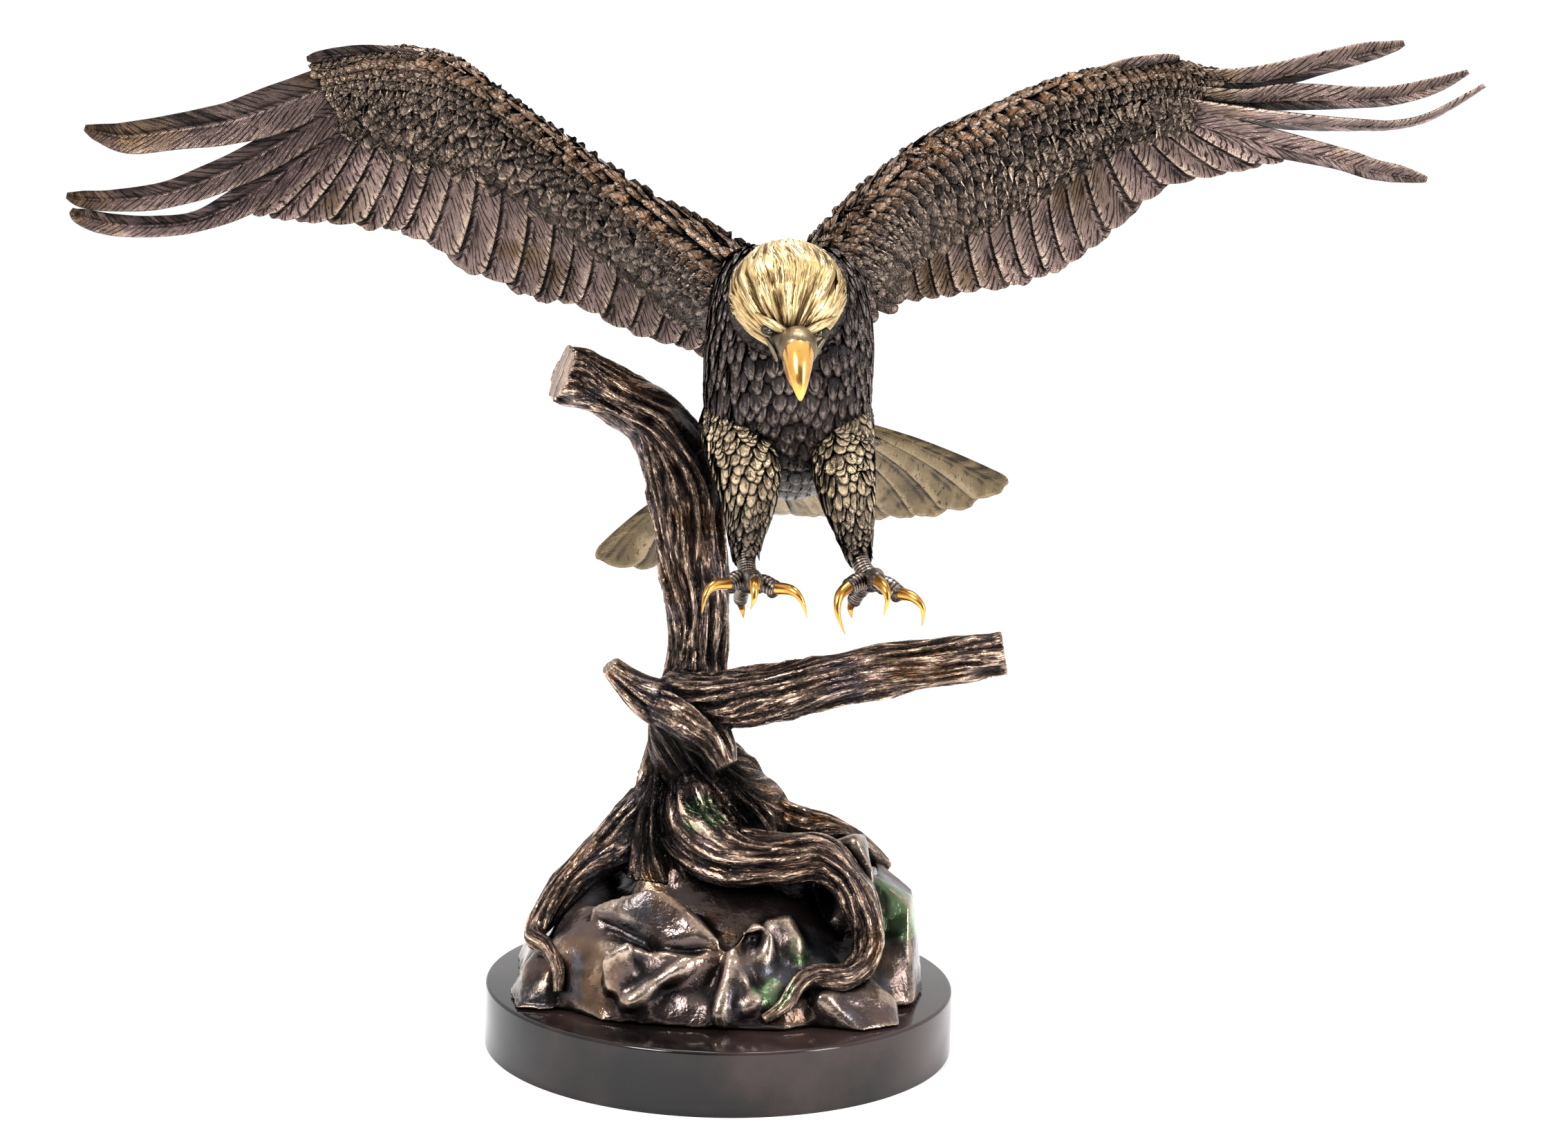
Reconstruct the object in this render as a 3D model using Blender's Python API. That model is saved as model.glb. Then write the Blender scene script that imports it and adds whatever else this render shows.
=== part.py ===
"""A bronze eagle coming down on a dead branch, cast in one with tree and rock, on a black marble plinth.

Metres, +Z up. The eagle faces -Y. The origin is the centre of the plinth's underside.
The casting is a free form: its points and radii are shares of its own height, written in drawing
units of which DRAWN_HEIGHT make that height. Heights in the drawing count from the plinth's top face.
"""

import math

import bmesh
import bpy
from mathutils import Matrix, Vector

# Driving sizes, in metres
CASTING_HEIGHT = 0.615
PLINTH_LEDGE = 0.0165
PLINTH_HEIGHT = 0.040
PLINTH_EDGE_ROUND = 0.0022
SEAT_GAP = 0.0003
FEATHER_THICKNESS = 0.0038

# The casting's drawing units
DRAWN_HEIGHT = 615.0
UNIT = CASTING_HEIGHT / DRAWN_HEIGHT
ROCK_REACH = 136.0
PLINTH_RADIUS = ROCK_REACH * UNIT + PLINTH_LEDGE

# How finely round forms are cut
PLINTH_SIDES = 64
EDGE_STEPS = 2
TALON_SIDES = 5
TOE_SIDES = 6
BARK_SIDES = 10
ROOT_SIDES = 6
BARK_FLUTE = 0.11
FLAT_ANGLE = math.radians(0.6)

TOWARDS_VIEWER = Vector((0.0, -1.0, -0.3)).normalized()
UP = Vector((0.0, 0.0, 1.0))

# Wings: leading edge with half thickness, edge of the coverts, tips and roots of the flight feathers
# The free primaries and the thumb feather are paths with half widths and a turn about their own length
LEFT_WING = {
    "side": -1.0,
    "edge": [(26, 12, 452, 20), (-10, 18, 474, 20), (-59, 24, 503, 18), (-111, 30, 538, 16),
             (-152, 34, 565, 14), (-186, 38, 588, 12), (-209, 38, 594, 10), (-241, 36, 593, 8),
             (-268, 33, 585, 5)],
    "covert_edge": [(14, 56, 416), (-33, 62, 439), (-56, 64, 452), (-93, 64, 473), (-126, 62, 495),
                    (-171, 56, 520), (-198, 52, 528), (-232, 47, 538), (-266, 43, 553)],
    "tips": [(-8, 76, 399), (-35, 79, 408), (-70, 82, 417), (-108, 86, 434), (-140, 88, 439),
             (-181, 86, 454), (-222, 79, 476), (-250, 69, 482), (-293, 60, 485), (-324, 48, 488)],
    "roots": [(10, 34, 446), (-24, 38, 458), (-58, 42, 476), (-96, 45, 500), (-128, 46, 522),
              (-166, 46, 544), (-196, 44, 556), (-220, 42, 562), (-240, 40, 566), (-252, 40, 566)],
    "primaries": [
        ([(-244, 43, 552, 9), (-274, 42, 532, 11), (-317, 34, 500, 10.5), (-348, 20, 482, 7),
          (-374, 10, 477, 7), (-399, 0, 477, 7.4), (-416, -6, 481, 5.8), (-422, -8, 485, 2)], 0),
        ([(-246, 40, 562, 9), (-278, 38, 546, 11), (-322, 28, 518, 11), (-363, 8, 498, 8.7),
          (-395, -4, 492, 7), (-415, -9, 492, 5.4), (-424, -11, 494, 2)], 0),
        ([(-238, 39, 580, 10), (-269, 36, 569, 14.4), (-300, 28, 555, 15), (-328, 18, 544, 13.5),
          (-356, 4, 537, 11.3), (-385, -8, 531, 10.2), (-402, -13, 533, 6.2), (-411, -15, 536, 2)], 0),
    ],
    "thumb": ([(-202, 36, 588, 6), (-243, 33, 591, 6.5), (-272, 30, 588, 4.8), (-282, 29, 587, 1.5)], 0),
}
RIGHT_WING = {
    "side": 1.0,
    "edge": [(36, 12, 456, 20), (56, 18, 486, 19), (81, 24, 513, 18), (116, 30, 546, 16),
             (161, 34, 570, 14), (206, 38, 590, 12), (243, 38, 597, 10), (272, 36, 600, 8),
             (296, 34, 596, 5)],
    "covert_edge": [(52, 56, 420), (90, 61, 450), (104, 63, 474), (130, 64, 492), (158, 64, 503),
                    (190, 60, 518), (222, 54, 540), (258, 46, 562), (290, 43, 574)],
    "tips": [(74, 78, 432), (92, 82, 442), (118, 85, 446), (144, 87, 450), (180, 88, 458), (210, 87, 466),
             (238, 82, 486), (276, 70, 521), (316, 60, 534), (356, 44, 543)],
    "roots": [(58, 40, 440), (86, 44, 468), (110, 48, 492), (134, 50, 508), (162, 51, 520), (192, 49, 536),
              (216, 46, 550), (240, 44, 564), (260, 42, 572), (276, 42, 577)],
    "primaries": [
        ([(270, 46, 572, 7), (302, 46, 564, 8.5), (346, 41, 553, 9), (386, 34, 544, 7.5),
          (405, 30, 538, 6.9), (423, 26, 535, 5.5), (439, 24, 532, 2)], 15),
        ([(270, 42, 578, 7), (297, 42, 573, 7), (352, 33, 567, 6.8), (393, 21, 565, 4.8),
          (414, 13, 565, 3.8), (435, 5, 571, 3), (463, -8, 589, 1.7)], 48),
        ([(266, 38, 584, 7), (317, 34, 580, 7.1), (346, 30, 582, 9.5), (388, 20, 582, 7.4),
          (411, 11, 583, 6.9), (434, 1, 589, 5.4), (452, -8, 597, 1.7)], 25),
        ([(262, 35, 592, 7), (307, 32, 592, 7), (334, 28, 594, 8.5), (372, 14, 604, 7.8), (392, 4, 609, 6.6),
          (405, -5, 612, 3.9), (411, -8, 614, 1.7)], 20),
    ],
    "thumb": ([(216, 38, 588, 6), (246, 36, 598, 6), (268, 33, 603, 4.2), (278, 32, 605, 1.5)], 0),
}
FLIGHT_COUNT = 14
COVERT_COUNT = 10
FLIGHT_BEND = 0.12
FLIGHT_SAG = 5.0
FLIGHT_STEP = 3.2
COVERT_STEP = 3.4
# Each feather of a sheet is drawn by three rings: place across it, slope, lift and how far out it reaches
NOTCH = 0.93
FEATHER_RINGS = ((0.04, 1.0, 0.0, NOTCH), (0.5, 0.0, 0.25, 1.0), (0.96, -1.0, 0.0, NOTCH))
TIP_STARTS = 0.7
# How soon after its root a feather's raised edge stands at its full step, and how thin a blade's tip is
STEP_GROWS = 1.6
BLADE_THINNING = 0.5
BLADE_STATIONS = 8
WING_PROFILE = ((0.0, 0.0), (0.08, 0.72), (0.32, 0.86), (0.60, 0.62), (1.0, 0.20))
FLIGHT_PROFILE = ((0.0, 1.0), (0.55, 0.9), (0.86, 0.7), (1.0, 0.3))

# Body rings: centre, half width, half depth
BODY = [(32, 4, 478, 12, 9), (32, 3, 470, 33, 26), (32, -1, 452, 46, 40), (33, -5, 424, 51, 47),
        (33, -2, 396, 52, 47), (33, 8, 368, 50, 43), (35, 28, 346, 40, 33), (37, 50, 336, 28, 21),
        (37, 74, 334, 22, 13), (37, 84, 333, 14, 8)]
BODY_RINGS = 12
BODY_SIDES = 14
NECK = [(34, 26, 430, 34), (33, 6, 434, 40), (32, -18, 438, 39), (31, -46, 441, 35), (31, -72, 443, 32),
        (31, -86, 442, 29)]
NECK_RINGS = 6
HEAD_CENTRE = (31.5, -97, 443.5)
HEAD_LOOKS = Vector((0.06, -0.69, -0.72)).normalized()
HEAD_RADII = (35.0, 37.5, 33.0)
HEAD_SIDES = 14
HEAD_LEVELS = 8
FACE_NARROWING = 0.30
BEAK = [(34, -114, 428, 15), (36.5, -128, 419, 12.5), (38.5, -142, 411, 10), (39.5, -152, 399, 6.5),
        (40.3, -155.5, 386, 1.6)]
BEAK_RINGS = 6
BEAK_SIDES = 8
# The head's pale feathers end in locks on the neck: rings as distance behind the head's middle and radius
HOOD = [(-14, 26.0), (-2, 33.0), (9, 34.5)]
HOOD_RIM = (21, 31.0)
HOOD_INSIDE = (9, 27.0)
HOOD_LOCKS = 10
HOOD_LOCK_LENGTH = 9.0

# Legs and feet: paths with radii
LEFT_LEG = [(4, 14, 378, 22), (5, 0, 361, 25.5), (8, -22, 340, 21), (11, -44, 317, 15), (10, -62, 294, 8.2),
            (11, -72, 281, 5.6), (13, -80, 271, 7)]
RIGHT_LEG = [(64, 14, 380, 20), (64, 0, 363, 22.5), (69, -22, 342, 18.5), (73, -44, 319, 14.5),
             (78, -62, 296, 8), (81, -72, 284, 5.6), (87, -80, 274, 7)]
LEG_RINGS = 8
LEG_SIDES = 10
TOE_RADIUS = 5.4
TOE_SWELLS = (1.0, 1.05, 0.95)
TOE_RINGS = 3
TALON_RADIUS = 4.3
TALON_RINGS = 5
# A talon loses this share of its radius by its tip, slowly at first
TALON_TAPER = 0.86
TALON_TAPER_POWER = 1.3
# Each toe is the path of its pad and the path of its talon
LEFT_FOOT = {
    "outer": ([(12, -80, 271), (6, -86, 273), (1, -92, 270)],
              [(2, -91, 271), (-7, -102, 271), (-12, -108, 266), (-14, -110, 255)]),
    "middle": ([(13, -80, 271), (15, -92, 275), (17, -104, 273)],
               [(17, -103, 274), (17, -114, 272), (17, -118, 266), (15, -118, 259)]),
    "inner": ([(14, -80, 270), (22, -86, 271), (30, -92, 268)],
              [(29, -91, 269), (39, -100, 269), (45, -104, 264), (49, -104, 253)]),
    "hind": ([(12, -78, 270), (9, -68, 264), (8, -62, 257)], [(8, -63, 258), (9, -59, 252), (10, -60, 246)]),
}
RIGHT_FOOT = {
    "outer": ([(88, -80, 273), (97, -86, 272), (105, -90, 267)],
              [(104, -90, 268), (112, -98, 267), (118, -102, 261), (118, -102, 250)]),
    "middle": ([(88, -82, 274), (89, -93, 278), (90, -104, 277)],
               [(90, -103, 277), (94, -114, 274), (96, -118, 268), (94, -118, 258)]),
    "inner": ([(86, -80, 273), (79, -87, 274), (73, -94, 271)],
              [(74, -93, 272), (68, -102, 267), (67, -106, 257), (72, -106, 244)]),
    "hind": ([(86, -78, 272), (81, -68, 266), (78, -62, 259)],
             [(78, -63, 260), (76, -59, 254), (77, -60, 248)]),
}

# Tail: a fan seen from below, from its left edge to its right
TAIL_ROOTS = [(-4, 72, 332), (16, 66, 340), (37, 62, 348), (56, 62, 358), (72, 66, 366)]
TAIL_MIDDLES = [(-56, 110, 312), (-20, 122, 314), (38, 128, 322), (104, 124, 338), (134, 106, 350)]
TAIL_TIPS = [(-104, 136, 258), (-66, 165, 250), (-28, 182, 272), (10, 191, 288), (44, 193, 288),
             (80, 190, 289), (112, 184, 290), (137, 176, 293), (168, 160, 304), (193, 136, 322)]
TAIL_COUNT = 10
TAIL_STEP = 2.2
TAIL_LOOKS = Vector((0.0, -0.42, -0.91)).normalized()

# Tree: trunk, crossing branch, stubs and roots, as paths with radii
TRUNK = [(-33, -4, 70, 30), (-32, -2, 106, 25), (-30, 6, 140, 21), (-27, 13, 172, 18),
         (-21, 20, 202, 16.5), (-20, 26, 233, 17), (-25, 32, 268, 19), (-31, 36, 304, 20),
         (-38, 38, 335, 20.5), (-52, 34, 360, 17.5), (-76, 28, 376, 15.5), (-99, 20, 387, 15.5),
         (-113, 14, 392, 16)]
TRUNK_RINGS = 15
TRUNK_FOOT = [(-27, 6, 188, 14), (-26, 1, 172, 20), (-21, 1, 148, 23), (-10, 2, 126, 29), (2, 4, 102, 35),
              (4, 6, 84, 38)]
BRANCH = [(-34, 6, 190, 12), (-20, -12, 188, 14.5), (10, -24, 190, 16), (51, -32, 200, 15.5),
          (104, -38, 213, 14.5), (148, -42, 222, 13), (174, -44, 227, 11)]
BRANCH_RINGS = 9
STUB_RINGS = 5
UPPER_STUB = [(-75, -26, 209, 6), (-64, -22, 198, 8), (-47, -14, 186, 12), (-28, -4, 180, 14)]
LOWER_STUB = [(-46, -8, 186, 12), (-26, -22, 178, 14), (-9, -30, 163, 11.5), (1, -35, 147, 7)]
SPUR_TO_BODY = [(-34, 38, 330, 13), (-12, 42, 344, 13), (14, 40, 356, 13)]
ROOTS = [
    [(-34, 0, 142, 12), (-46, -4, 117, 17), (-60, -8, 99, 15), (-74, -14, 86, 12.5), (-89, -22, 75, 10),
     (-103, -32, 61, 8.5), (-113, -44, 47, 7), (-116, -54, 38, 5.5), (-106, -66, 34, 4.6),
     (-99, -78, 25, 3.8), (-98, -84, 12, 2.5)],
    [(-22, 0, 146, 12), (-18, -12, 124, 18), (-15, -27, 104, 19), (6, -43, 91, 16), (35, -46, 90, 13.5),
     (62, -46, 92, 12), (78, -52, 83, 10.5), (88, -60, 69, 10), (94, -64, 51, 9), (91, -76, 37, 8),
     (79, -92, 30, 7), (62, -98, 32, 5.6), (51, -105, 28, 4.8), (42, -111, 16, 4), (30, -114, 8, 2.6)],
    [(-20, 2, 160, 10), (4, 0, 132, 11), (24, 0, 115, 10.5), (46, 2, 106, 9.5), (68, 6, 99, 8.5),
     (88, 16, 88, 7), (108, 30, 70, 4.5)],
    [(-42, 12, 112, 16), (-62, 30, 92, 12), (-82, 46, 70, 9), (-98, 58, 42, 6)],
    [(-26, 18, 112, 17), (-14, 48, 90, 13), (6, 74, 72, 10), (20, 98, 48, 7), (26, 108, 22, 5)],
]

# Rock: the mound's rings as height, centre x, centre y, half width, half depth
MOUND = [(0, -1, -2, 139, 120), (14, 0, -1, 136, 114), (36, 5, 8, 119, 92), (50, 8, 12, 102, 74),
         (64, 10, 14, 84, 58), (78, 8, 12, 64, 46), (90, 0, 8, 40, 32)]
MOUND_CORNERS = 15
MOUND_TURN = 0.35
MOUND_UNEVENNESS = 0.035
# Stones: the foot's centre, half width, half depth and base height, then the points of the crest
STONES = [
    ((-40, -66, 46, 22, 44), [(-82, -66, 63), (-46, -76, 80), (-34, -74, 79), (-16, -78, 67), (4, -92, 50)]),
    ((-34, -34, 32, 20, 50), [(-52, -30, 86), (-24, -36, 84)]),
    ((-57, -97, 12, 10, 18), [(-61, -102, 46), (-53, -99, 50)]),
    ((-68, -95, 15, 8, 14), [(-79, -94, 44), (-62, -103, 38)]),
    ((-96, -22, 36, 56, 0), [(-108, -48, 40), (-94, -22, 66), (-84, 18, 74), (-70, -8, 80)]),
    ((-30, -88, 44, 22, 0), [(4, -90, 50), (-24, -102, 34), (-54, -110, 16), (-70, -86, 40)]),
    ((10, -92, 28, 25, 0), [(10, -90, 50), (3, -114, 13), (24, -108, 22)]),
    ((23, -84, 17, 14, 20), [(12, -88, 57), (30, -88, 60), (36, -86, 54), (22, -76, 62)]),
    ((17, -100, 8, 7, 8), [(18, -105, 34), (14, -104, 33)]),
    ((-112, -56, 24, 38, 0), [(-122, -62, 30), (-108, -76, 28), (-112, -40, 44)]),
    ((40, -70, 22, 20, 28), [(28, -68, 60), (45, -64, 62), (52, -78, 50)]),
    ((84, -26, 22, 34, 44), [(64, -24, 98), (84, -38, 107), (93, -16, 104), (98, -48, 86), (80, 6, 98)]),
    ((108, -14, 28, 56, 0), [(100, -20, 76), (123, -32, 62), (128, 10, 62), (98, 26, 80)]),
    ((82, -86, 42, 25, 0), [(64, -105, 22), (104, -84, 18), (92, -68, 36)]),
    ((30, -4, 50, 34, 56), [(-6, -18, 106), (20, 4, 104), (52, 2, 97), (30, -26, 92)]),
    ((52, 60, 44, 40, 20), [(30, 52, 90), (66, 48, 88), (58, 78, 66)]),
    ((-60, 56, 44, 36, 20), [(-84, 40, 68), (-52, 50, 84), (-38, 76, 62)]),
    ((4, 88, 44, 26, 0), [(-14, 84, 60), (22, 92, 52), (2, 66, 76)]),
]
STONE_CORNERS = 7
STONE_UNEVENNESS = 0.08
# How fast the unevenness changes from corner to corner, so that no two corners are alike
MOUND_WAVE = 2.4
STONE_WAVE = 2.1

BRONZE_COLOUR = (0.13, 0.095, 0.07)
BRONZE_ROUGHNESS = 0.38
MARBLE_COLOUR = (0.012, 0.012, 0.013)
MARBLE_ROUGHNESS = 0.12


def at(x, y, z):
    """A point of the drawing, in metres above the plinth."""
    return Vector((x, y, z)) * UNIT + UP * (PLINTH_HEIGHT + SEAT_GAP)


def material(name, colour, roughness, metallic):
    made = bpy.data.materials.new(name)
    made.use_nodes = True
    shader = made.node_tree.nodes["Principled BSDF"]
    shader.inputs["Base Color"].default_value = (*colour, 1.0)
    shader.inputs["Roughness"].default_value = roughness
    shader.inputs["Metallic"].default_value = metallic
    return made


def point_on(points, share):
    """The point a share of the way along a Catmull-Rom curve."""
    last = len(points) - 1
    place = min(max(share, 0.0), 1.0) * last
    i = min(int(place), last - 1)
    t = place - i
    a, b, c, d = (points[max(0, min(last, j))] for j in (i - 1, i, i + 1, i + 2))
    return tuple(
        0.5 * (2 * q + (r - p) * t + (2 * p - 5 * q + 4 * r - s) * t * t + (3 * q - p - 3 * r + s) * t ** 3)
        for p, q, r, s in zip(a, b, c, d)
    )


def smooth_path(points, count):
    """Evenly numbered points on the curve through the given ones. Radii ride along as a last number."""
    return [point_on(points, step / (count - 1)) for step in range(count)]


def piece_from(name, bm):
    """Stores a closed bmesh as a piece of the casting, which the render leaves out until it is fused."""
    bmesh.ops.triangulate(bm, faces=bm.faces)
    bmesh.ops.recalc_face_normals(bm, faces=bm.faces)
    mesh = bpy.data.meshes.new(name)
    bm.to_mesh(mesh)
    bm.free()
    obj = bpy.data.objects.new(name, mesh)
    obj.hide_render = True
    obj.display_type = "WIRE"
    return obj


def loft(name, rings):
    """A closed piece through rings of equally many points, capped flat at both ends."""
    bm = bmesh.new()
    rows = [[bm.verts.new(p) for p in ring] for ring in rings]
    for low, high in zip(rows, rows[1:]):
        for k in range(len(low)):
            n = (k + 1) % len(low)
            bm.faces.new((low[k], low[n], high[n], high[k]))
    bm.faces.new(rows[0])
    bm.faces.new(rows[-1])
    return piece_from(name, bm)


def frames_along(centres):
    """A tangent, side and up direction at each centre, with no sudden turn from one to the next."""
    frames = []
    up = None
    for i, _ in enumerate(centres):
        tangent = (centres[min(i + 1, len(centres) - 1)] - centres[max(i - 1, 0)]).normalized()
        if up is None:
            up = tangent.orthogonal()
        up = (up - tangent * up.dot(tangent)).normalized()
        frames.append((tangent, tangent.cross(up), up))
    return frames


def tube(name, path, rings, sides, flute=0.0):
    """A round tapering piece along a path with radii; flute makes every second corner stand in."""
    points = smooth_path(path, rings)
    centres = [at(*p[:3]) for p in points]
    loops = []
    for centre, (_, side, up), point in zip(centres, frames_along(centres), points):
        loop = []
        for k in range(sides):
            angle = 2 * math.pi * k / sides
            radius = point[3] * UNIT * (1 + flute * (0.5 - k % 2))
            loop.append(centre + (side * math.cos(angle) + up * math.sin(angle)) * radius)
        loops.append(loop)
    return loft(name, loops)


def rolled(direction, axis, angle):
    return Matrix.Rotation(angle, 3, axis) @ direction


def blade(name, path, thickness, facing, stations):
    """A feather as a thin four-sided blade with a raised shaft. The path carries half widths."""
    points = smooth_path(path, stations)
    centres = [at(*p[:3]) for p in points]
    loops = []
    for i, (tangent, _, _) in enumerate(frames_along(centres)):
        front = (facing - tangent * facing.dot(tangent)).normalized()
        side = tangent.cross(front) * points[i][3] * UNIT
        deep = front * 0.5 * thickness * (1.0 - BLADE_THINNING * i / (stations - 1))
        loops.append([centres[i] + side, centres[i] + deep, centres[i] - side, centres[i] - deep])
    return loft(name, loops)


def panel(name, count, profile, chord, facing, step, lower_side):
    """A sheet of feathers lying over one another like tiles, as one closed piece.

    chord gives root, middle, tip and half thickness at a share of the way along the sheet.
    step is how far a feather's upper edge stands over its neighbour; lower_side says which edge that is.
    """
    loops = []
    for k in range(count):
        sign = lower_side(k)
        for place, slope, lift, reach in FEATHER_RINGS:
            stand = (lift + sign * slope) * 0.5 * step * UNIT
            root, middle, tip, half = chord((k + place) / count)
            tangent = (at(*tip) - at(*root)).normalized()
            front = (facing - tangent * facing.dot(tangent)).normalized()
            upper, lower = [], []
            for along, thick in profile:
                ending = max(0.0, along - TIP_STARTS) / (1.0 - TIP_STARTS)
                t = along * (1.0 - (1.0 - reach) * ending)
                drawn = [
                    (1 - t) ** 2 * a + 2 * t * (1 - t) * b + t * t * c for a, b, c in zip(root, middle, tip)
                ]
                centre = at(*drawn) + front * stand * min(1.0, STEP_GROWS * t)
                upper.append(centre + front * half * thick)
                lower.append(centre - front * half * thick)
            loops.append(upper + lower[::-1] if profile[0][1] else upper + lower[:0:-1])
    return loft(name, loops)


def inward(_):
    """On a wing, the edge nearer the body stands up on every feather."""
    return 1


def wing_pieces(label, wing):
    """The arm with its coverts, the flight feathers, the free primaries and the thumb feather."""
    side = wing["side"]

    def arm_chord(share):
        nose, heel = point_on(wing["edge"], share), point_on(wing["covert_edge"], share)
        middle = tuple((p + q) / 2 for p, q in zip(nose, heel))
        return nose[:3], middle, heel, nose[3] * UNIT

    def flight_chord(share):
        root, tip = point_on(wing["roots"], share), point_on(wing["tips"], share)
        bend = FLIGHT_BEND * math.dist(root, tip)
        x, y, z = ((p + q) / 2 for p, q in zip(root, tip))
        return root, (x - side * bend, y + FLIGHT_SAG, z), tip, 0.5 * FEATHER_THICKNESS

    found = [
        panel(f"{label}_{kind}", count, profile, chord, TOWARDS_VIEWER, step, inward)
        for kind, count, profile, chord, step in (
            ("arm", COVERT_COUNT, WING_PROFILE, arm_chord, COVERT_STEP),
            ("flight", FLIGHT_COUNT, FLIGHT_PROFILE, flight_chord, FLIGHT_STEP),
        )
    ]
    for k, (path, turn) in enumerate([*wing["primaries"], wing["thumb"]]):
        along = (at(*path[-1][:3]) - at(*path[0][:3])).normalized()
        facing = rolled(TOWARDS_VIEWER, along, side * math.radians(turn))
        shown = math.cos(math.radians(turn))
        widened = [(*p[:3], p[3] / shown) for p in path]
        found.append(blade(f"{label}_primary_{k}", widened, FEATHER_THICKNESS, facing, BLADE_STATIONS))
    return found


def body():
    """The trunk of the bird, from between the shoulders to the root of the tail."""
    rings = smooth_path(BODY, BODY_RINGS)
    centres = [at(*p[:3]) for p in rings]
    loops = []
    for (tangent, _, _), centre, ring in zip(frames_along(centres), centres, rings):
        across = (Vector((1, 0, 0)) - tangent * tangent.x).normalized()
        deep = tangent.cross(across)
        turns = [2 * math.pi * k / BODY_SIDES for k in range(BODY_SIDES)]
        loops.append([
            centre + (across * ring[3] * math.cos(a) + deep * ring[4] * math.sin(a)) * UNIT for a in turns
        ])
    return loft("body", loops)


def head():
    """An egg that looks forward and down."""
    bm = bmesh.new()
    bmesh.ops.create_uvsphere(bm, u_segments=HEAD_SIDES, v_segments=HEAD_LEVELS, radius=1.0)
    across = Vector((1, 0, 0))
    across = (across - HEAD_LOOKS * across.dot(HEAD_LOOKS)).normalized()
    crown = across.cross(HEAD_LOOKS)
    wide, long, high = (r * UNIT for r in HEAD_RADII)
    centre = at(*HEAD_CENTRE)
    for vert in bm.verts:
        x, y, z = vert.co
        narrowing = 1.0 - FACE_NARROWING * max(0.0, z)
        vert.co = centre + (across * x * wide + crown * y * high) * narrowing + HEAD_LOOKS * z * long
    return piece_from("head", bm)


def hood():
    """The mane of pale feathers behind the face, with its ends cut into locks."""
    across = (Vector((1, 0, 0)) - HEAD_LOOKS * HEAD_LOOKS.x).normalized()
    crown = across.cross(HEAD_LOOKS)
    loops = []
    for level, (behind, radius) in enumerate([*HOOD, HOOD_RIM, HOOD_INSIDE]):
        loop = []
        for k in range(2 * HOOD_LOCKS):
            angle = math.pi * k / HOOD_LOCKS
            out = across * math.cos(angle) + crown * math.sin(angle)
            short = HOOD_LOCK_LENGTH * (k % 2) if level == len(HOOD) else 0.0
            loop.append(at(*HEAD_CENTRE) + (out * radius - HEAD_LOOKS * (behind - short)) * UNIT)
        loops.append(loop)
    return loft("hood", loops)


def foot_pieces(label, foot):
    found = []
    for toe, (pad, claw) in foot.items():
        padded = [(*p, TOE_RADIUS * swell) for p, swell in zip(pad, TOE_SWELLS)]
        found.append(tube(f"{label}_{toe}_toe", padded, TOE_RINGS, TOE_SIDES))
        shares = [1.0 - TALON_TAPER * (i / (len(claw) - 1)) ** TALON_TAPER_POWER for i in range(len(claw))]
        hooked = [(*p, TALON_RADIUS * share) for p, share in zip(claw, shares)]
        found.append(tube(f"{label}_{toe}_talon", hooked, TALON_RINGS, TALON_SIDES))
    return found


def tail():
    """The fan of the tail: each feather lies over its neighbour on the outer side, seen from below."""
    def chord(share):
        return (point_on(TAIL_ROOTS, share), point_on(TAIL_MIDDLES, share), point_on(TAIL_TIPS, share),
                0.5 * FEATHER_THICKNESS)

    def towards_middle(k):
        return 1 if k >= TAIL_COUNT / 2 else -1

    return panel("tail", TAIL_COUNT, FLIGHT_PROFILE, chord, TAIL_LOOKS, TAIL_STEP, towards_middle)


def tree_pieces():
    found = [
        tube("trunk", TRUNK, TRUNK_RINGS, BARK_SIDES, BARK_FLUTE),
        tube("trunk_foot", TRUNK_FOOT, len(TRUNK_FOOT), BARK_SIDES, BARK_FLUTE),
        tube("branch", BRANCH, BRANCH_RINGS, BARK_SIDES, BARK_FLUTE),
        tube("upper_stub", UPPER_STUB, STUB_RINGS, ROOT_SIDES, BARK_FLUTE),
        tube("lower_stub", LOWER_STUB, STUB_RINGS, ROOT_SIDES, BARK_FLUTE),
        tube("spur_to_body", SPUR_TO_BODY, len(SPUR_TO_BODY), ROOT_SIDES),
    ]
    found += [tube(f"root_{k}", path, len(path) + 1, ROOT_SIDES, BARK_FLUTE) for k, path in enumerate(ROOTS)]
    return found


def hull(name, points):
    """The closed piece that tightly wraps some points."""
    bm = bmesh.new()
    for point in points:
        bm.verts.new(point)
    made = bmesh.ops.convex_hull(bm, input=bm.verts)
    unused = [v for v in made["geom_interior"] + made["geom_unused"] if isinstance(v, bmesh.types.BMVert)]
    bmesh.ops.delete(bm, geom=list(set(unused)), context="VERTS")
    return piece_from(name, bm)


def mound():
    """The rock's main mass, with corners that don't repeat."""
    points = []
    for level, (z, cx, cy, wide, deep) in enumerate(MOUND):
        for k in range(MOUND_CORNERS):
            angle = 2 * math.pi * k / MOUND_CORNERS + MOUND_TURN * (level // 2)
            uneven = 1.0 - MOUND_UNEVENNESS * (1 + math.sin(MOUND_WAVE * k + level))
            points.append(at(cx + wide * uneven * math.cos(angle), cy + deep * uneven * math.sin(angle), z))
    return hull("mound", points)


def stone(index, foot, crest):
    """A faceted stone: a many-cornered foot and the points of its crest."""
    cx, cy, wide, deep, base = foot
    points = [at(*p) for p in crest]
    for k in range(STONE_CORNERS):
        angle = 2 * math.pi * (k + 0.5 * (index % 2)) / STONE_CORNERS
        uneven = 1.0 - STONE_UNEVENNESS * (1 + math.sin(STONE_WAVE * k + index))
        points.append(at(cx + wide * uneven * math.cos(angle), cy + deep * uneven * math.sin(angle), base))
    return hull(f"stone_{index}", points)


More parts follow.
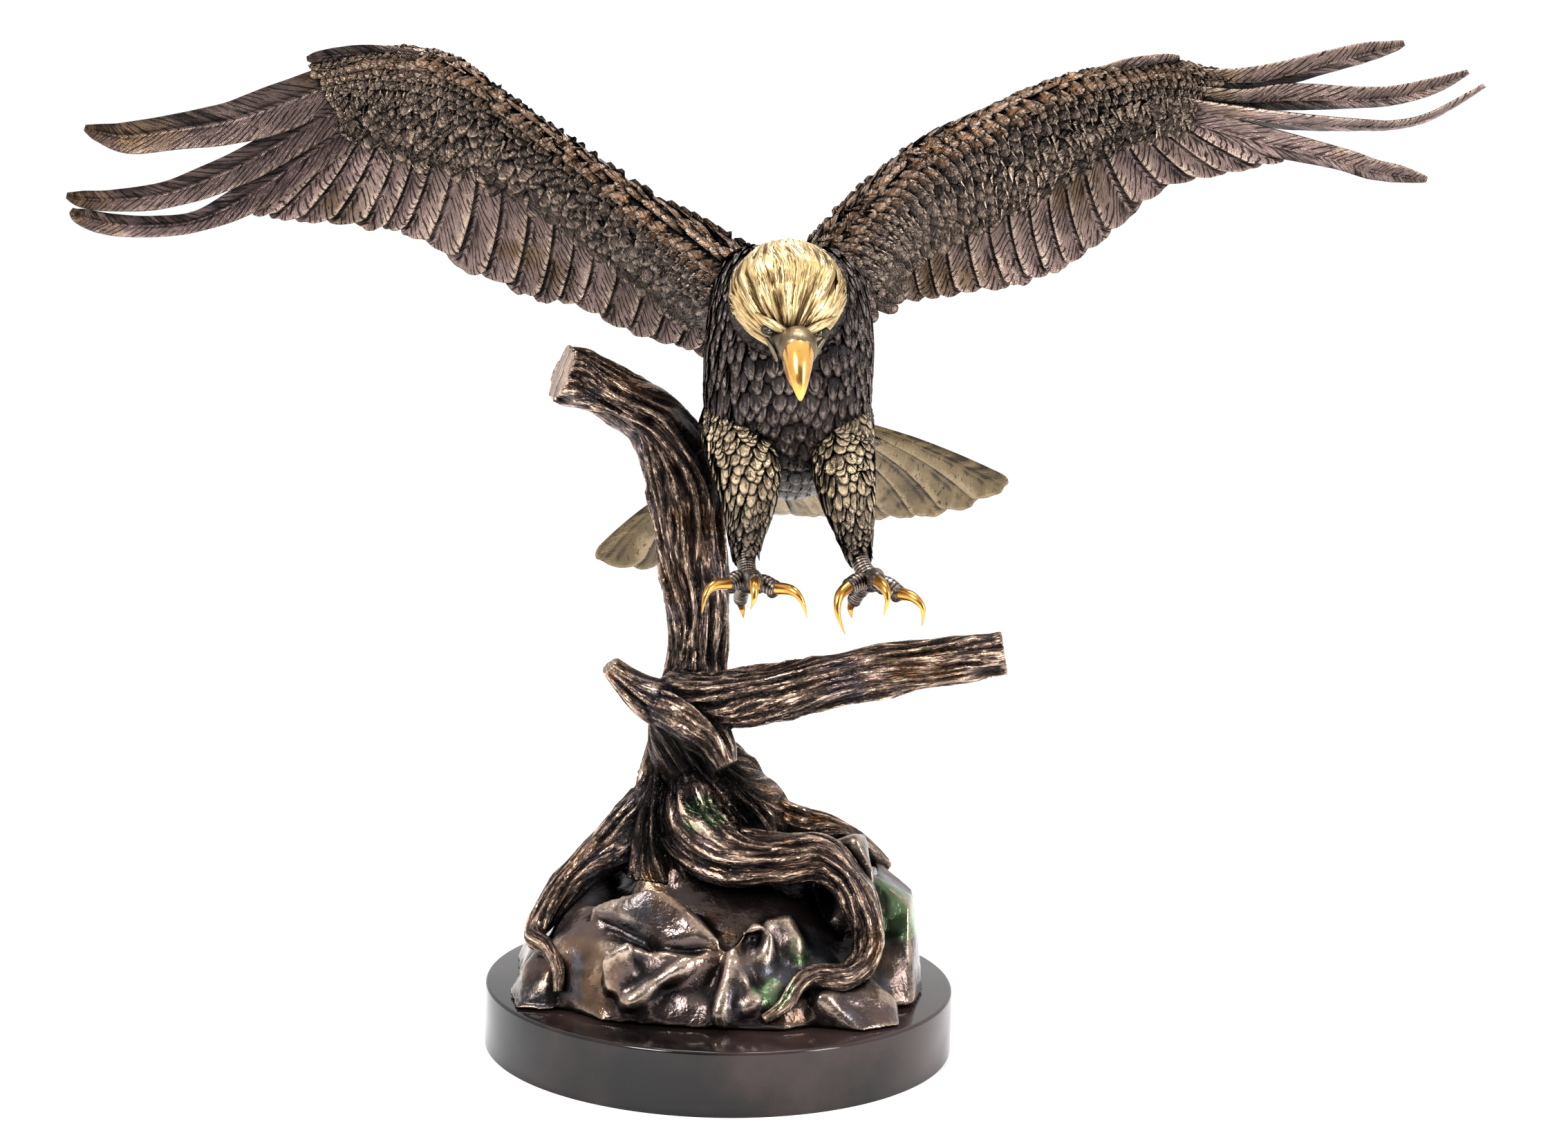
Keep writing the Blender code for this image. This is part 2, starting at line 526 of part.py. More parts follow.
def rock_pieces():
    return [mound()] + [stone(i, foot, crest) for i, (foot, crest) in enumerate(STONES)]


def fused(name, pieces, finish):
    """One solid from overlapping closed pieces."""
    group = bpy.data.collections.new(f"{name} pieces")
    bpy.context.scene.collection.children.link(group)
    base, *rest = pieces
    for obj in rest:
        group.objects.link(obj)
    base.name = name
    base.hide_render = False
    base.display_type = "TEXTURED"
    bpy.context.scene.collection.objects.link(base)
    base.data.materials.append(finish)
    union = base.modifiers.new("Fuse", "BOOLEAN")
    union.operation = "UNION"
    union.operand_type = "COLLECTION"
    union.collection = group
    union.solver = "EXACT"
    tidied = base.modifiers.new("Merge flat faces", "DECIMATE")
    tidied.decimate_type = "DISSOLVE"
    tidied.angle_limit = FLAT_ANGLE
    return base


def plinth():
    """A turned marble disc with a softened upper edge."""
    profile = [(0.0, PLINTH_HEIGHT)]
    for step in range(EDGE_STEPS + 1):
        angle = math.pi / 2 * (1 - step / EDGE_STEPS)
        profile.append((
            PLINTH_RADIUS - PLINTH_EDGE_ROUND * (1 - math.cos(angle)),
            PLINTH_HEIGHT - PLINTH_EDGE_ROUND * (1 - math.sin(angle)),
        ))
    profile += [(PLINTH_RADIUS, 0.0), (0.0, 0.0)]
    bm = bmesh.new()
    verts = [bm.verts.new((x, 0.0, z)) for x, z in profile]
    edges = [bm.edges.new(pair) for pair in zip(verts, verts[1:])]
    bmesh.ops.spin(
        bm, geom=verts + edges, cent=(0, 0, 0), axis=(0, 0, 1), angle=2 * math.pi, steps=PLINTH_SIDES
    )
    bmesh.ops.remove_doubles(bm, verts=bm.verts, dist=1e-6)
    bmesh.ops.recalc_face_normals(bm, faces=bm.faces)
    mesh = bpy.data.meshes.new("marble_plinth")
    bm.to_mesh(mesh)
    bm.free()
    mesh.shade_smooth()
    mesh.set_sharp_from_angle(angle=math.radians(35))
    mesh.materials.append(material("black marble", MARBLE_COLOUR, MARBLE_ROUGHNESS, 0.0))
    obj = bpy.data.objects.new("marble_plinth", mesh)
    bpy.context.scene.collection.objects.link(obj)
    return obj


def clear_scene():
    for obj in list(bpy.data.objects):
        bpy.data.objects.remove(obj)


def main():
    clear_scene()
    plinth()
    bronze = material("patinated bronze", BRONZE_COLOUR, BRONZE_ROUGHNESS, 1.0)
    pieces = [body(), head(), hood()]
    pieces += [tube("neck", NECK, NECK_RINGS, BODY_SIDES), tube("beak", BEAK, BEAK_RINGS, BEAK_SIDES)]
    for label, leg, foot in (("left", LEFT_LEG, LEFT_FOOT), ("right", RIGHT_LEG, RIGHT_FOOT)):
        pieces += [tube(f"{label}_leg", leg, LEG_RINGS, LEG_SIDES)] + foot_pieces(label, foot)
    pieces += wing_pieces("left_wing", LEFT_WING) + wing_pieces("right_wing", RIGHT_WING)
    pieces += [tail()] + tree_pieces() + rock_pieces()
    fused("bronze_eagle_on_tree", pieces, bronze)


main()
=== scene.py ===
import math

import bmesh
import bpy
import numpy as np
from mathutils import Matrix, Vector
from mathutils.bvhtree import BVHTree
from mathutils.kdtree import KDTree


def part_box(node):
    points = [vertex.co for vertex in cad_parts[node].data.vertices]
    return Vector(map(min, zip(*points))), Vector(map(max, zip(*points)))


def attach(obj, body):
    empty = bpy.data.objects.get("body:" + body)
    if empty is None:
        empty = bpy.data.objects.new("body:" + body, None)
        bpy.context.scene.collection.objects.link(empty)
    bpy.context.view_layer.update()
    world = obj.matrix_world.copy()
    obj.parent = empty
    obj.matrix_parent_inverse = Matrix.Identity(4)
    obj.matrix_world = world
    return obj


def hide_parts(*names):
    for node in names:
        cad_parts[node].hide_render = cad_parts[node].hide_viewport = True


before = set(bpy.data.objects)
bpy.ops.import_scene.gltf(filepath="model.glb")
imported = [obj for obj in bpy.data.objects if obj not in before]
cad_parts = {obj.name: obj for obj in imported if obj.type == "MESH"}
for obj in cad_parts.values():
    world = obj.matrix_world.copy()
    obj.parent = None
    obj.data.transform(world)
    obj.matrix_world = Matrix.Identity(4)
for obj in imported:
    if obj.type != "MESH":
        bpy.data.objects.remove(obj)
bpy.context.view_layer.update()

# The drawing's units are thousandths of a metre, counted from the plinth's top
UNIT = 0.001
DRAWING_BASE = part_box("bronze_eagle_on_tree")[0].z
PLINTH_RADIUS = 0.1525
PLINTH_HEIGHT = 0.040
PLINTH_EDGE_ROUND = 0.0022
TOWARDS_VIEWER = np.array([0.0, -0.958, -0.287])

# What every point of a piece can tell its finish
# relief is high on raised, worn parts and low in hollows and where one part runs under another; the finishes
# darken the low parts, partly as patina and partly as painted shade
VALUES = {"relief": 0.5, "across": 0.0, "along": 0.0, "seed": 0.5, "zone": 0.0}
chance = np.random.default_rng(11)

# Wings: leading edge with half thickness, edge of the coverts, tips and roots of the flight feathers,
# then the free feathers as paths with half widths and a turn about their own length
LEFT_WING = {
    "side": -1.0,
    "edge": [(26, 12, 452, 20), (-10, 18, 474, 20), (-59, 24, 503, 18), (-111, 30, 538, 16),
             (-152, 34, 565, 14), (-186, 38, 588, 12), (-209, 38, 594, 10), (-241, 36, 593, 8),
             (-268, 33, 585, 5)],
    "covert_edge": [(14, 56, 416), (-33, 62, 439), (-56, 64, 452), (-93, 64, 473), (-126, 62, 495),
                    (-171, 56, 520), (-198, 52, 528), (-232, 47, 538), (-266, 43, 553)],
    "tips": [(-8, 76, 399), (-35, 79, 408), (-70, 82, 417), (-108, 86, 434), (-140, 88, 439), (-181, 86, 454),
             (-222, 79, 476), (-250, 69, 482), (-293, 60, 485), (-324, 48, 488)],
    "roots": [(10, 38, 446), (-24, 42, 458), (-58, 46, 476), (-96, 49, 500), (-128, 50, 522), (-166, 50, 544),
              (-196, 47, 556), (-220, 44, 562), (-240, 41, 566), (-252, 40, 566)],
    "free": [
        ([(-244, 43, 552, 9), (-274, 42, 532, 11), (-317, 34, 500, 10.5), (-348, 20, 482, 7),
          (-374, 10, 477, 7), (-399, 0, 477, 7.4), (-416, -6, 481, 5.8), (-422, -8, 485, 2)], 0),
        ([(-246, 40, 562, 9), (-278, 38, 546, 11), (-322, 28, 518, 11), (-363, 8, 498, 8.7),
          (-395, -4, 492, 7), (-415, -9, 492, 5.4), (-423.8, -11, 494, 2)], 0),
        ([(-238, 39, 580, 10), (-269, 36, 569, 14.4), (-300, 28, 555, 15), (-328, 18, 544, 13.5),
          (-356, 4, 537, 11.3), (-385, -8, 531, 10.2), (-402, -13, 533, 6.2), (-411, -15, 536, 2)], 0),
        ([(-202, 36, 588, 6), (-243, 33, 591, 6.5), (-272, 30, 588, 4.8), (-282, 29, 587, 1.5)], 0),
    ],
}
RIGHT_WING = {
    "side": 1.0,
    "edge": [(36, 12, 456, 20), (56, 18, 486, 19), (81, 24, 513, 18), (116, 30, 546, 16), (161, 34, 570, 14),
             (206, 38, 590, 12), (243, 38, 597, 10), (272, 36, 600, 8), (296, 34, 596, 5)],
    "covert_edge": [(52, 56, 420), (90, 61, 450), (104, 63, 474), (130, 64, 492), (158, 64, 503),
                    (190, 60, 518), (222, 54, 540), (258, 46, 562), (290, 43, 574)],
    "tips": [(74, 78, 432), (92, 82, 442), (118, 85, 446), (144, 87, 450), (180, 88, 458), (210, 87, 466),
             (238, 82, 486), (276, 70, 521), (316, 60, 534), (356, 44, 543)],
    "roots": [(58, 44, 440), (86, 48, 468), (110, 52, 492), (134, 54, 508), (162, 55, 520), (192, 53, 536),
              (216, 49, 550), (240, 46, 564), (260, 43, 572), (276, 42, 577)],
    "free": [
        ([(270, 46, 572, 7), (302, 46, 564, 8.5), (346, 41, 553, 9), (386, 34, 544, 7.5), (405, 30, 538, 6.9),
          (423, 26, 535, 5.5), (439, 24, 532, 2)], 15),
        ([(270, 42, 578, 7), (297, 42, 573, 7), (352, 33, 567, 6.8), (393, 21, 565, 4.8), (414, 13, 565, 3.8),
          (435, 5, 571, 3), (462.7, -8, 589, 1.7)], 48),
        ([(266, 38, 584, 7), (317, 34, 580, 7.1), (346, 30, 582, 9.5), (388, 20, 582, 7.4),
          (411, 11, 583, 6.9), (434, 1, 589, 5.4), (452, -8, 597, 1.7)], 25),
        ([(262, 35, 592, 7), (307, 32, 592, 7), (334, 28, 594, 8.5), (372, 14, 604, 7.8), (392, 4, 609, 6.6),
          (405, -5, 611.6, 3.9), (411, -8, 613.5, 1.7)], 20),
        ([(216, 38, 588, 6), (246, 36, 598, 6), (268, 33, 603, 4.2), (278, 32, 605, 1.5)], 0),
    ],
}
WING_PROFILE = ((0.0, 0.03), (0.03, 0.42), (0.08, 0.70), (0.32, 0.86), (0.60, 0.78), (1.0, 0.42))
FLIGHTS = 20
FLIGHT_BEND = 0.12
# How far each long feather lies over the next: in height, and in width as a share of its room
FLIGHT_LAP = 3.6
TAIL_LAP = 2.6
FAN_OVERLAP = 0.22
FREE_THICKNESS = 1.5
# A long feather's shaft and the grooves beside it, in half widths of the feather
SHAFT = 0.12
SHAFT_WIDTH = 0.06
GROOVE_GAP = 0.17
GROOVE_WIDTH = 0.07
# Small feathers: length in widths, depth of the underside's middle, and the bare end of a surface
LEAF_LENGTH = 1.55
LEAF_SEAM = 0.6
END_MARGIN = 0.004
# Rows of coverts: place on the chord, turn towards the chord in degrees, length, width
COVERT_ROWS = [(0.00, 10, 20, 9.5), (0.055, 22, 18, 9.5), (0.115, 38, 15, 9.5), (0.185, 54, 15, 9.5),
               (0.27, 64, 17, 9.5), (0.365, 70, 20, 9.5), (0.475, 76, 23, 10), (0.60, 82, 25, 11),
               (0.72, 86, 25, 12), (0.82, 90, 24, 14)]

# Body rings: centre, half width, half depth; limbs carry radii
BODY = [(32, 4, 478, 12, 9), (32, 3, 470, 33, 26), (32, -1, 452, 46, 40), (33, -5, 424, 51, 47),
        (33, -2, 396, 52, 47), (33, 8, 368, 50, 43), (35, 28, 346, 40, 33), (37, 50, 336, 28, 21),
        (37, 74, 334, 22, 13), (37, 84, 333, 14, 8)]
NECK = [(34, 26, 430, 34), (33, 6, 434, 39), (32, -18, 438, 38), (31, -46, 441, 34), (31, -72, 442, 31),
        (31, -86, 441, 28)]
HEAD_CENTRE = np.array([31.5, -97.0, 443.5])
HEAD_LOOKS = np.array([0.06, -0.69, -0.72]) / np.linalg.norm([0.06, -0.69, -0.72])
HEAD_ACROSS = np.array([1.0, 0.0, 0.0]) - HEAD_LOOKS * HEAD_LOOKS[0]
HEAD_ACROSS /= np.linalg.norm(HEAD_ACROSS)
HEAD_UP = np.cross(HEAD_LOOKS, HEAD_ACROSS)
HEAD_RADII = (34.0, 36.0, 31.5)
LEGS = {
    "left": [(4, 14, 378, 22), (5, 0, 361, 25.5), (8, -22, 340, 21), (11, -44, 317, 15), (10, -62, 294, 8.2),
             (11, -72, 281, 5.6), (13, -80, 271, 6.6)],
    "right": [(64, 14, 380, 20), (64, 0, 363, 22.5), (69, -22, 342, 18.5), (73, -44, 319, 14.5),
              (78, -62, 296, 8), (81, -72, 284, 5.6), (87, -80, 274, 6.6)],
}
FEET = {
    "left": [
        ([(12, -80, 271), (6, -86, 273), (1, -92, 270)],
         [(2, -91, 271), (-7, -102, 271), (-12, -108, 266), (-14, -110, 255)]),
        ([(13, -80, 271), (15, -92, 275), (17, -104, 273)],
         [(17, -103, 274), (17, -114, 272), (17, -118, 266), (15, -118, 259)]),
        ([(14, -80, 270), (22, -86, 271), (30, -92, 268)],
         [(29, -91, 269), (39, -100, 269), (45, -104, 264), (49, -104, 253)]),
        ([(12, -78, 270), (9, -68, 264), (8, -62, 257)], [(8, -63, 258), (9, -59, 252), (10, -60, 246)]),
    ],
    "right": [
        ([(88, -80, 273), (97, -86, 272), (105, -90, 267)],
         [(104, -90, 268), (112, -98, 267), (118, -102, 261), (118, -102, 250)]),
        ([(88, -82, 274), (89, -93, 278), (90, -104, 277)],
         [(90, -103, 277), (94, -114, 274), (96, -118, 268), (94, -118, 258)]),
        ([(86, -80, 273), (79, -87, 274), (73, -94, 271)],
         [(74, -93, 272), (68, -102, 267), (67, -106, 257), (72, -106, 244)]),
        ([(86, -78, 272), (81, -68, 266), (78, -62, 259)], [(78, -63, 260), (76, -59, 254), (77, -60, 248)]),
    ],
}
TOE_RADIUS = 5.2
TALON_RADIUS = 4.1
# Directions that the rings of the toes and of the wood start from
TOE_SIDE = (0.3, 0.2, 1.0)
UPWARD = (0.0, 0.0, 1.0)
# Fineness of limbs and balls
LIMB_SAMPLES = 160
BALL_ROWS, BALL_COLS = 14, 20

# Face: its middle, then the brow as across, up, lift and radius, and the gape as across, place and radius
FACE_MIDDLE = 36.5
BROW = [(23, 433.5, 0.0, 1.2), (18, 430.0, 1.4, 2.4), (13, 427.2, 2.6, 2.8), (7, 424.0, 3.8, 2.4),
        (2.0, 421.0, 4.6, 1.6)]
GAPE = [(17.0, -122.5, 419.5, 1.0), (14.0, -128.0, 415.0, 1.5), (11.3, -132.5, 410.0, 1.5),
        (9.6, -137.0, 406.5, 1.0)]

TAIL_ROOTS = [(-4, 72, 332), (16, 66, 340), (37, 62, 348), (56, 62, 358), (72, 66, 366)]
TAIL_MIDDLES = [(-56, 110, 312), (-20, 122, 314), (38, 128, 322), (104, 124, 338), (134, 106, 350)]
TAIL_TIPS = [(-104, 134, 258), (-66, 163, 250), (-28, 180, 272), (10, 189, 288), (44, 191, 288),
             (80, 188, 289), (112, 182, 290), (137, 174, 293), (168, 158, 304), (193, 134, 322)]
TAIL_COUNT = 12
TAIL_LOOKS = np.array([0.0, -0.42, -0.91])

# Tree: paths with radii
TRUNK = [(-33, -4, 70, 30), (-32, -2, 106, 25), (-30, 6, 140, 21), (-27, 13, 172, 18), (-21, 20, 202, 16.5),
         (-20, 26, 233, 17), (-25, 32, 268, 19), (-31, 36, 304, 20), (-38, 38, 335, 20.5),
         (-52, 34, 360, 17.5), (-76, 28, 376, 15.5), (-99, 20, 387, 15.5), (-113, 14, 392, 16)]
BRANCH = [(-34, 6, 190, 12), (-20, -12, 188, 14.5), (10, -24, 190, 16), (51, -32, 200, 15.5),
          (104, -38, 213, 14.5), (148, -42, 222, 13), (174, -44, 227, 11)]
UPPER_STUB = [(-75, -26, 209, 6), (-64, -22, 198, 8), (-47, -14, 186, 12), (-28, -4, 180, 14)]
LOWER_STUB = [(-46, -8, 186, 12), (-26, -22, 178, 14), (-9, -30, 163, 11.5), (1, -35, 147, 7)]
TRUNK_FOOT = [(-27, 6, 188, 14), (-26, 1, 172, 20), (-21, 1, 148, 23), (-10, 2, 126, 29), (2, 4, 102, 35),
              (4, 6, 84, 38)]
SPUR_TO_BODY = [(-34, 38, 330, 13), (-12, 42, 344, 13), (14, 40, 356, 13)]
ROOTS = [
    [(-32, 1, 134, 12), (-43, -4, 113, 15.5), (-59, -8, 98, 14.5), (-74, -14, 86, 12.5), (-89, -22, 75, 10),
     (-103, -32, 61, 8.5), (-113, -44, 47, 7), (-116, -54, 38, 5.5), (-106, -66, 34, 4.6),
     (-99, -78, 25, 3.8), (-98, -84, 12, 2.5)],
    [(-22, 0, 146, 12), (-18, -12, 124, 18), (-15, -27, 104, 19), (6, -43, 91, 16), (35, -46, 90, 13.5),
     (62, -46, 92, 12), (78, -52, 83, 10.5), (88, -60, 69, 10), (94, -64, 51, 9), (91, -76, 37, 8),
     (79, -92, 30, 7), (62, -98, 32, 5.6), (51, -105, 28, 4.8), (42, -111, 16, 4), (30, -114, 8, 2.6)],
    [(-20, 2, 160, 10), (4, 0, 132, 11), (24, 0, 115, 10.5), (46, 2, 106, 9.5), (68, 6, 99, 8.5),
     (88, 16, 88, 7), (108, 30, 70, 4.5)],
    [(-42, 12, 112, 16), (-62, 30, 92, 12), (-82, 46, 70, 9), (-98, 58, 42, 6)],
    [(-26, 18, 112, 17), (-14, 48, 90, 13), (6, 74, 72, 10), (20, 98, 48, 7), (26, 108, 22, 5)],
]

# Rock: the mound's rings as height, centre x, centre y, half width, half depth; stones as foot and crest
MOUND = [(0, -1, -2, 139, 120), (14, 0, -1, 136, 114), (36, 5, 8, 119, 92), (50, 8, 12, 102, 74),
         (64, 10, 14, 84, 58), (78, 8, 12, 64, 46), (90, 0, 8, 40, 32)]
MOUND_CORNERS = 15
STONES = [
    ((-52, -66, 62, 40, 0), [(-106, -62, 40), (-72, -88, 44), (-34, -95, 45), (0, -95, 42), (-90, -44, 58),
                            (-30, -60, 66)]),
    ((-40, -66, 46, 22, 44), [(-82, -66, 63), (-46, -76, 80), (-34, -74, 79), (-16, -78, 67), (4, -92, 50)]),
    ((-34, -34, 32, 20, 50), [(-52, -30, 86), (-24, -36, 84)]),
    ((-58, -98, 15, 12, 18), [(-63, -108, 46), (-52, -104, 53), (-70, -104, 42)]),
    ((-96, -22, 36, 56, 0), [(-108, -48, 40), (-94, -22, 66), (-84, 18, 74), (-70, -8, 80)]),
    ((-30, -88, 44, 22, 0), [(4, -90, 50), (-24, -102, 34), (-54, -110, 16), (-70, -86, 40)]),
    ((10, -92, 28, 25, 0), [(10, -90, 50), (3, -114, 13), (24, -108, 22)]),
    ((23, -84, 17, 14, 20), [(12, -88, 57), (30, -88, 60), (36, -86, 54), (22, -76, 62)]),
    ((17, -100, 8, 7, 8), [(18, -105, 34), (14, -104, 33)]),
    ((-108, -52, 28, 42, 0), [(-122, -58, 26), (-104, -76, 24), (-108, -36, 40)]),
    ((40, -70, 22, 20, 28), [(28, -68, 60), (45, -64, 62), (52, -78, 50)]),
    ((84, -26, 22, 34, 44), [(64, -24, 98), (84, -38, 107), (93, -16, 104), (98, -48, 86), (80, 6, 98)]),
    ((108, -14, 28, 56, 0), [(100, -20, 76), (123, -32, 62), (128, 10, 62), (98, 26, 80)]),
    ((82, -86, 42, 25, 0), [(64, -105, 22), (104, -84, 18), (92, -68, 36)]),
    ((30, -4, 50, 34, 56), [(-6, -18, 106), (20, 4, 104), (52, 2, 97), (30, -26, 92)]),
    ((52, 60, 44, 40, 20), [(30, 52, 90), (66, 48, 88), (58, 78, 66)]),
    ((-60, 56, 44, 36, 20), [(-84, 40, 68), (-52, 50, 84), (-38, 76, 62)]),
    ((4, 88, 44, 26, 0), [(-14, 84, 60), (22, 92, 52), (2, 66, 76)]),
]
STONE_CORNERS = 7
# Hollows pressed into the rock: centre, reach and depth
DENTS = [(22, -94, 53, 9, 12), (-12, -98, 44, 8, 3), (112, -40, 40, 10, 4), (-84, -84, 28, 12, 3),
         (-30, -104, 22, 9, 4), (44, -104, 40, 10, 3)]
# Ridges that run over the rock's face: two ends, reach and height
RIDGES = [((0, -96, 50), (-56, -112, 12), 6, 4.5), ((8, -96, 46), (2, -114, 10), 5, 4),
          ((-82, -74, 60), (-40, -90, 46), 5, -5), ((-40, -90, 46), (0, -96, 46), 4, -5),
          ((-66, -99, 40), (-54, -101, 47), 7, 5), ((-110, -64, 34), (-76, -92, 30), 8, 3),
          ((60, -100, 20), (110, -78, 10), 7, 3), ((40, -100, 30), (20, -112, 14), 5, 3.5)]
# Painted shade: where the trunk's foot, under the branch and between the roots, is painted almost black:
# centre and reach
SHADE_SPOTS = [(-26, -22, 146, 42), (4, -32, 124, 34), (-40, -24, 104, 32)]
# Where green patina shows: centre and reach
GREEN_SPOTS = [(-12, -42, 118, 22), (112, -30, 58, 34), (58, -84, 46, 22), (36, -108, 26, 20),
               (-34, -62, 86, 22), (46, -40, 104, 14), (50, 40, 92, 30), (-60, 50, 70, 26)]
# Common skins: size of a cell, share of the faces kept, rounds of easing, and rounds that find the hollows
TREE_CELL = 1.05
TREE_KEPT = 0.42
TREE_ROUNDS = 7
ROCK_CELL = 2.05
ROCK_EASING = 27
ROCK_ROUNDS = 24

# Factors that scatter the cells of the noise
CELL_FACTORS = (73856093, 19349663, 83492791)
SEED_FACTOR = 40503
STIR_FACTOR = 1274126177

# Barbs: distance apart, how steeply they leave the shaft, and how unlike they are from leaf to leaf
BARB_PITCH = 1.5
BARB_SLANT = 1.5
SEED_SPREAD = 40.0

# Camera: focal length in picture widths, place, tilt down and roll in degrees
SENSOR_WIDTH = 36.0
FOCAL_SHARE = 3270 / 2268
CAMERA_PLACE = (0.034, -1.447, 0.473)
CAMERA_DOWN = 6.24
CAMERA_ROLL = 1.76
ROOM_LIGHT = 1.08


def unit(vectors):
    return vectors / np.maximum(np.linalg.norm(vectors, axis=-1, keepdims=True), 1e-9)


def soft_step(x, low, high):
    t = np.clip((x - low) / (high - low), 0.0, 1.0)
    return t * t * (3 - 2 * t)


def by_rows(rows, cols, first=0.0, last=1.0):
    """A grid that runs from the first value to the last over its rows."""
    return np.linspace(first, last, rows)[:, None] * np.ones(cols)


def by_cols(rows, cols, first=0.0, last=1.0):
    """A grid that runs from the first value to the last over its columns."""
    return np.ones((rows, 1)) * np.linspace(first, last, cols)


def turns(rows, cols):
    """A grid of angles, once round over its columns."""
    return np.ones((rows, 1)) * np.linspace(0, 2 * np.pi, cols, endpoint=False)


def apart(angle):
    """How far an angle is from zero, either way round."""
    return np.abs((angle + np.pi) % (2 * np.pi) - np.pi)


def arch(root, middle, tip, t):
    """Points on the bent line from root to tip that middle draws towards itself."""
    return (1 - t) ** 2 * root + 2 * t * (1 - t) * middle + t * t * tip


def run_of(points):
    """The length of a line through points."""
    return np.sum(np.linalg.norm(np.diff(points[:, :3], axis=0), axis=1))


def staggered(count, row, jitter):
    """Places 0, 1, 2 and so on along a row of feathers, every second row moved by half a place."""
    return np.arange(count) + 0.5 * (row % 2) + jitter * chance.normal(size=count)


def to_world(points):
    """Drawing units to metres."""
    world = points * UNIT
    world[:, 2] += DRAWING_BASE
    return world


def write_value(mesh, name, numbers):
    layer = mesh.attributes.new(name, "FLOAT", "POINT")
    layer.data.foreach_set("value", numbers.astype(np.float32))


def placed(name, data):
    """A new object of the scene."""
    obj = bpy.data.objects.new(name, data)
    bpy.context.scene.collection.objects.link(obj)
    return obj


def curve(points, shares):
    """Points on the Catmull-Rom curve through the given ones, at shares of the way along it."""
    table = np.asarray(points, float)
    last = len(table) - 1
    place = np.clip(np.asarray(shares, float), 0.0, 1.0) * last
    i = np.minimum(place.astype(int), last - 1)
    t = (place - i)[..., None]
    a, b, c, d = (table[np.clip(i + k, 0, last)] for k in (-1, 0, 1, 2))
    square = (2 * a - 5 * b + 4 * c - d) * t * t
    cube = (3 * b - a - 3 * c + d) * t ** 3
    return 0.5 * (2 * b + (c - a) * t + square + cube)


def lumps(points, size, seed=0):
    """Smooth noise between -1 and 1 at each point, with features of the given size."""
    q = np.asarray(points, float) / size
    base = np.floor(q).astype(np.int64)
    f = q - base
    f = f * f * (3 - 2 * f)
    total = np.zeros(q.shape[:-1])
    for corner in range(8):
        step = np.array([(corner >> axis) & 1 for axis in range(3)])
        cell = base + step
        x, y, z = (cell[..., axis] * factor for axis, factor in enumerate(CELL_FACTORS))
        mixed = x ^ y ^ z ^ (seed + 1) * SEED_FACTOR
        mixed = (mixed ^ (mixed >> 13)) * STIR_FACTOR
        mixed = mixed ^ (mixed >> 16)
        total += ((mixed & 0xFFFF) / 32767.5 - 1.0) * np.prod(np.where(step, f, 1 - f), axis=-1)
    return total


def grid_quads(rows, cols, closed=False):
    index = np.arange(rows * cols).reshape(rows, cols)
    left = index if closed else index[:, :-1]
    right = np.roll(index, -1, axis=1) if closed else index[:, 1:]
    return np.stack([left[:-1], right[:-1], right[1:], left[1:]], -1).reshape(-1, 4)


def rim(rows, cols):
    """The outer points of a grid in order, and the point after each."""
    index = np.arange(rows * cols).reshape(rows, cols)
    ring = np.concatenate([index[0, :-1], index[:-1, -1], index[-1, :0:-1], index[:0:-1, 0]])
    return ring, np.roll(ring, -1)


def outward(points, quads, tris):
    """The faces of a closed form, turned to look out of it."""
    corners = [points[quads[:, k]] for k in range(4)] if len(quads) else None
    volume = 0.0
    if corners:
        volume += np.sum(corners[0] * np.cross(corners[1], corners[2]))
        volume += np.sum(corners[0] * np.cross(corners[2], corners[3]))
    if len(tris):
        volume += np.sum(points[tris[:, 0]] * np.cross(points[tris[:, 1]], points[tris[:, 2]]))
    return (quads, tris) if volume > 0 else (quads[:, ::-1], tris[:, ::-1])


class Form:
    """Gathers closed shapes into one piece."""

    def __init__(self):
        self.points = []
        self.quads = []
        self.tris = []
        self.values = {name: [] for name in VALUES}
        self.count = 0

    def add(self, points, quads=(), tris=(), **values):
        points = np.asarray(points, float).reshape(-1, 3)
        if len(quads):
            self.quads.append(np.asarray(quads) + self.count)
        if len(tris):
            self.tris.append(np.asarray(tris) + self.count)
        for name, usual in VALUES.items():
            given = np.asarray(values.get(name, usual), float)
            self.values[name].append(np.broadcast_to(given.reshape(-1), (len(points),)))
        self.points.append(points)
        self.count += len(points)

    def closed(self, points, quads, tris=(), **values):
        points = np.asarray(points, float).reshape(-1, 3)
        quads, tris = np.asarray(quads, int).reshape(-1, 4), np.asarray(tris, int).reshape(-1, 3)
        self.add(points, *outward(points, quads, tris), **values)

    def mesh(self, name):
        points = to_world(np.concatenate(self.points))
        quads = np.concatenate(self.quads) if self.quads else np.zeros((0, 4), int)
        tris = np.concatenate(self.tris) if self.tris else np.zeros((0, 3), int)
        made = bpy.data.meshes.new(name)
        made.vertices.add(len(points))
        made.vertices.foreach_set("co", points.ravel())
        corners = np.concatenate([quads.ravel(), tris.ravel()]).astype(np.int32)
        made.loops.add(len(corners))
        made.loops.foreach_set("vertex_index", corners)
        starts = np.concatenate([np.arange(len(quads)) * 4, quads.size + np.arange(len(tris)) * 3])
        made.polygons.add(len(starts))
        made.polygons.foreach_set("loop_start", starts.astype(np.int32))
        made.update(calc_edges=True)
        for value_name, found in self.values.items():
            write_value(made, value_name, np.concatenate(found))
        made.validate()
        made.shade_smooth()
        return made

    def piece(self, name, finish):
        shown(name, self.mesh(name), finish)


def shown(name, mesh, finish, node="bronze_eagle_on_tree"):
    obj = placed(name, mesh)
    mesh.materials.append(finish)
    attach(obj, "root")
    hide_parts(node)


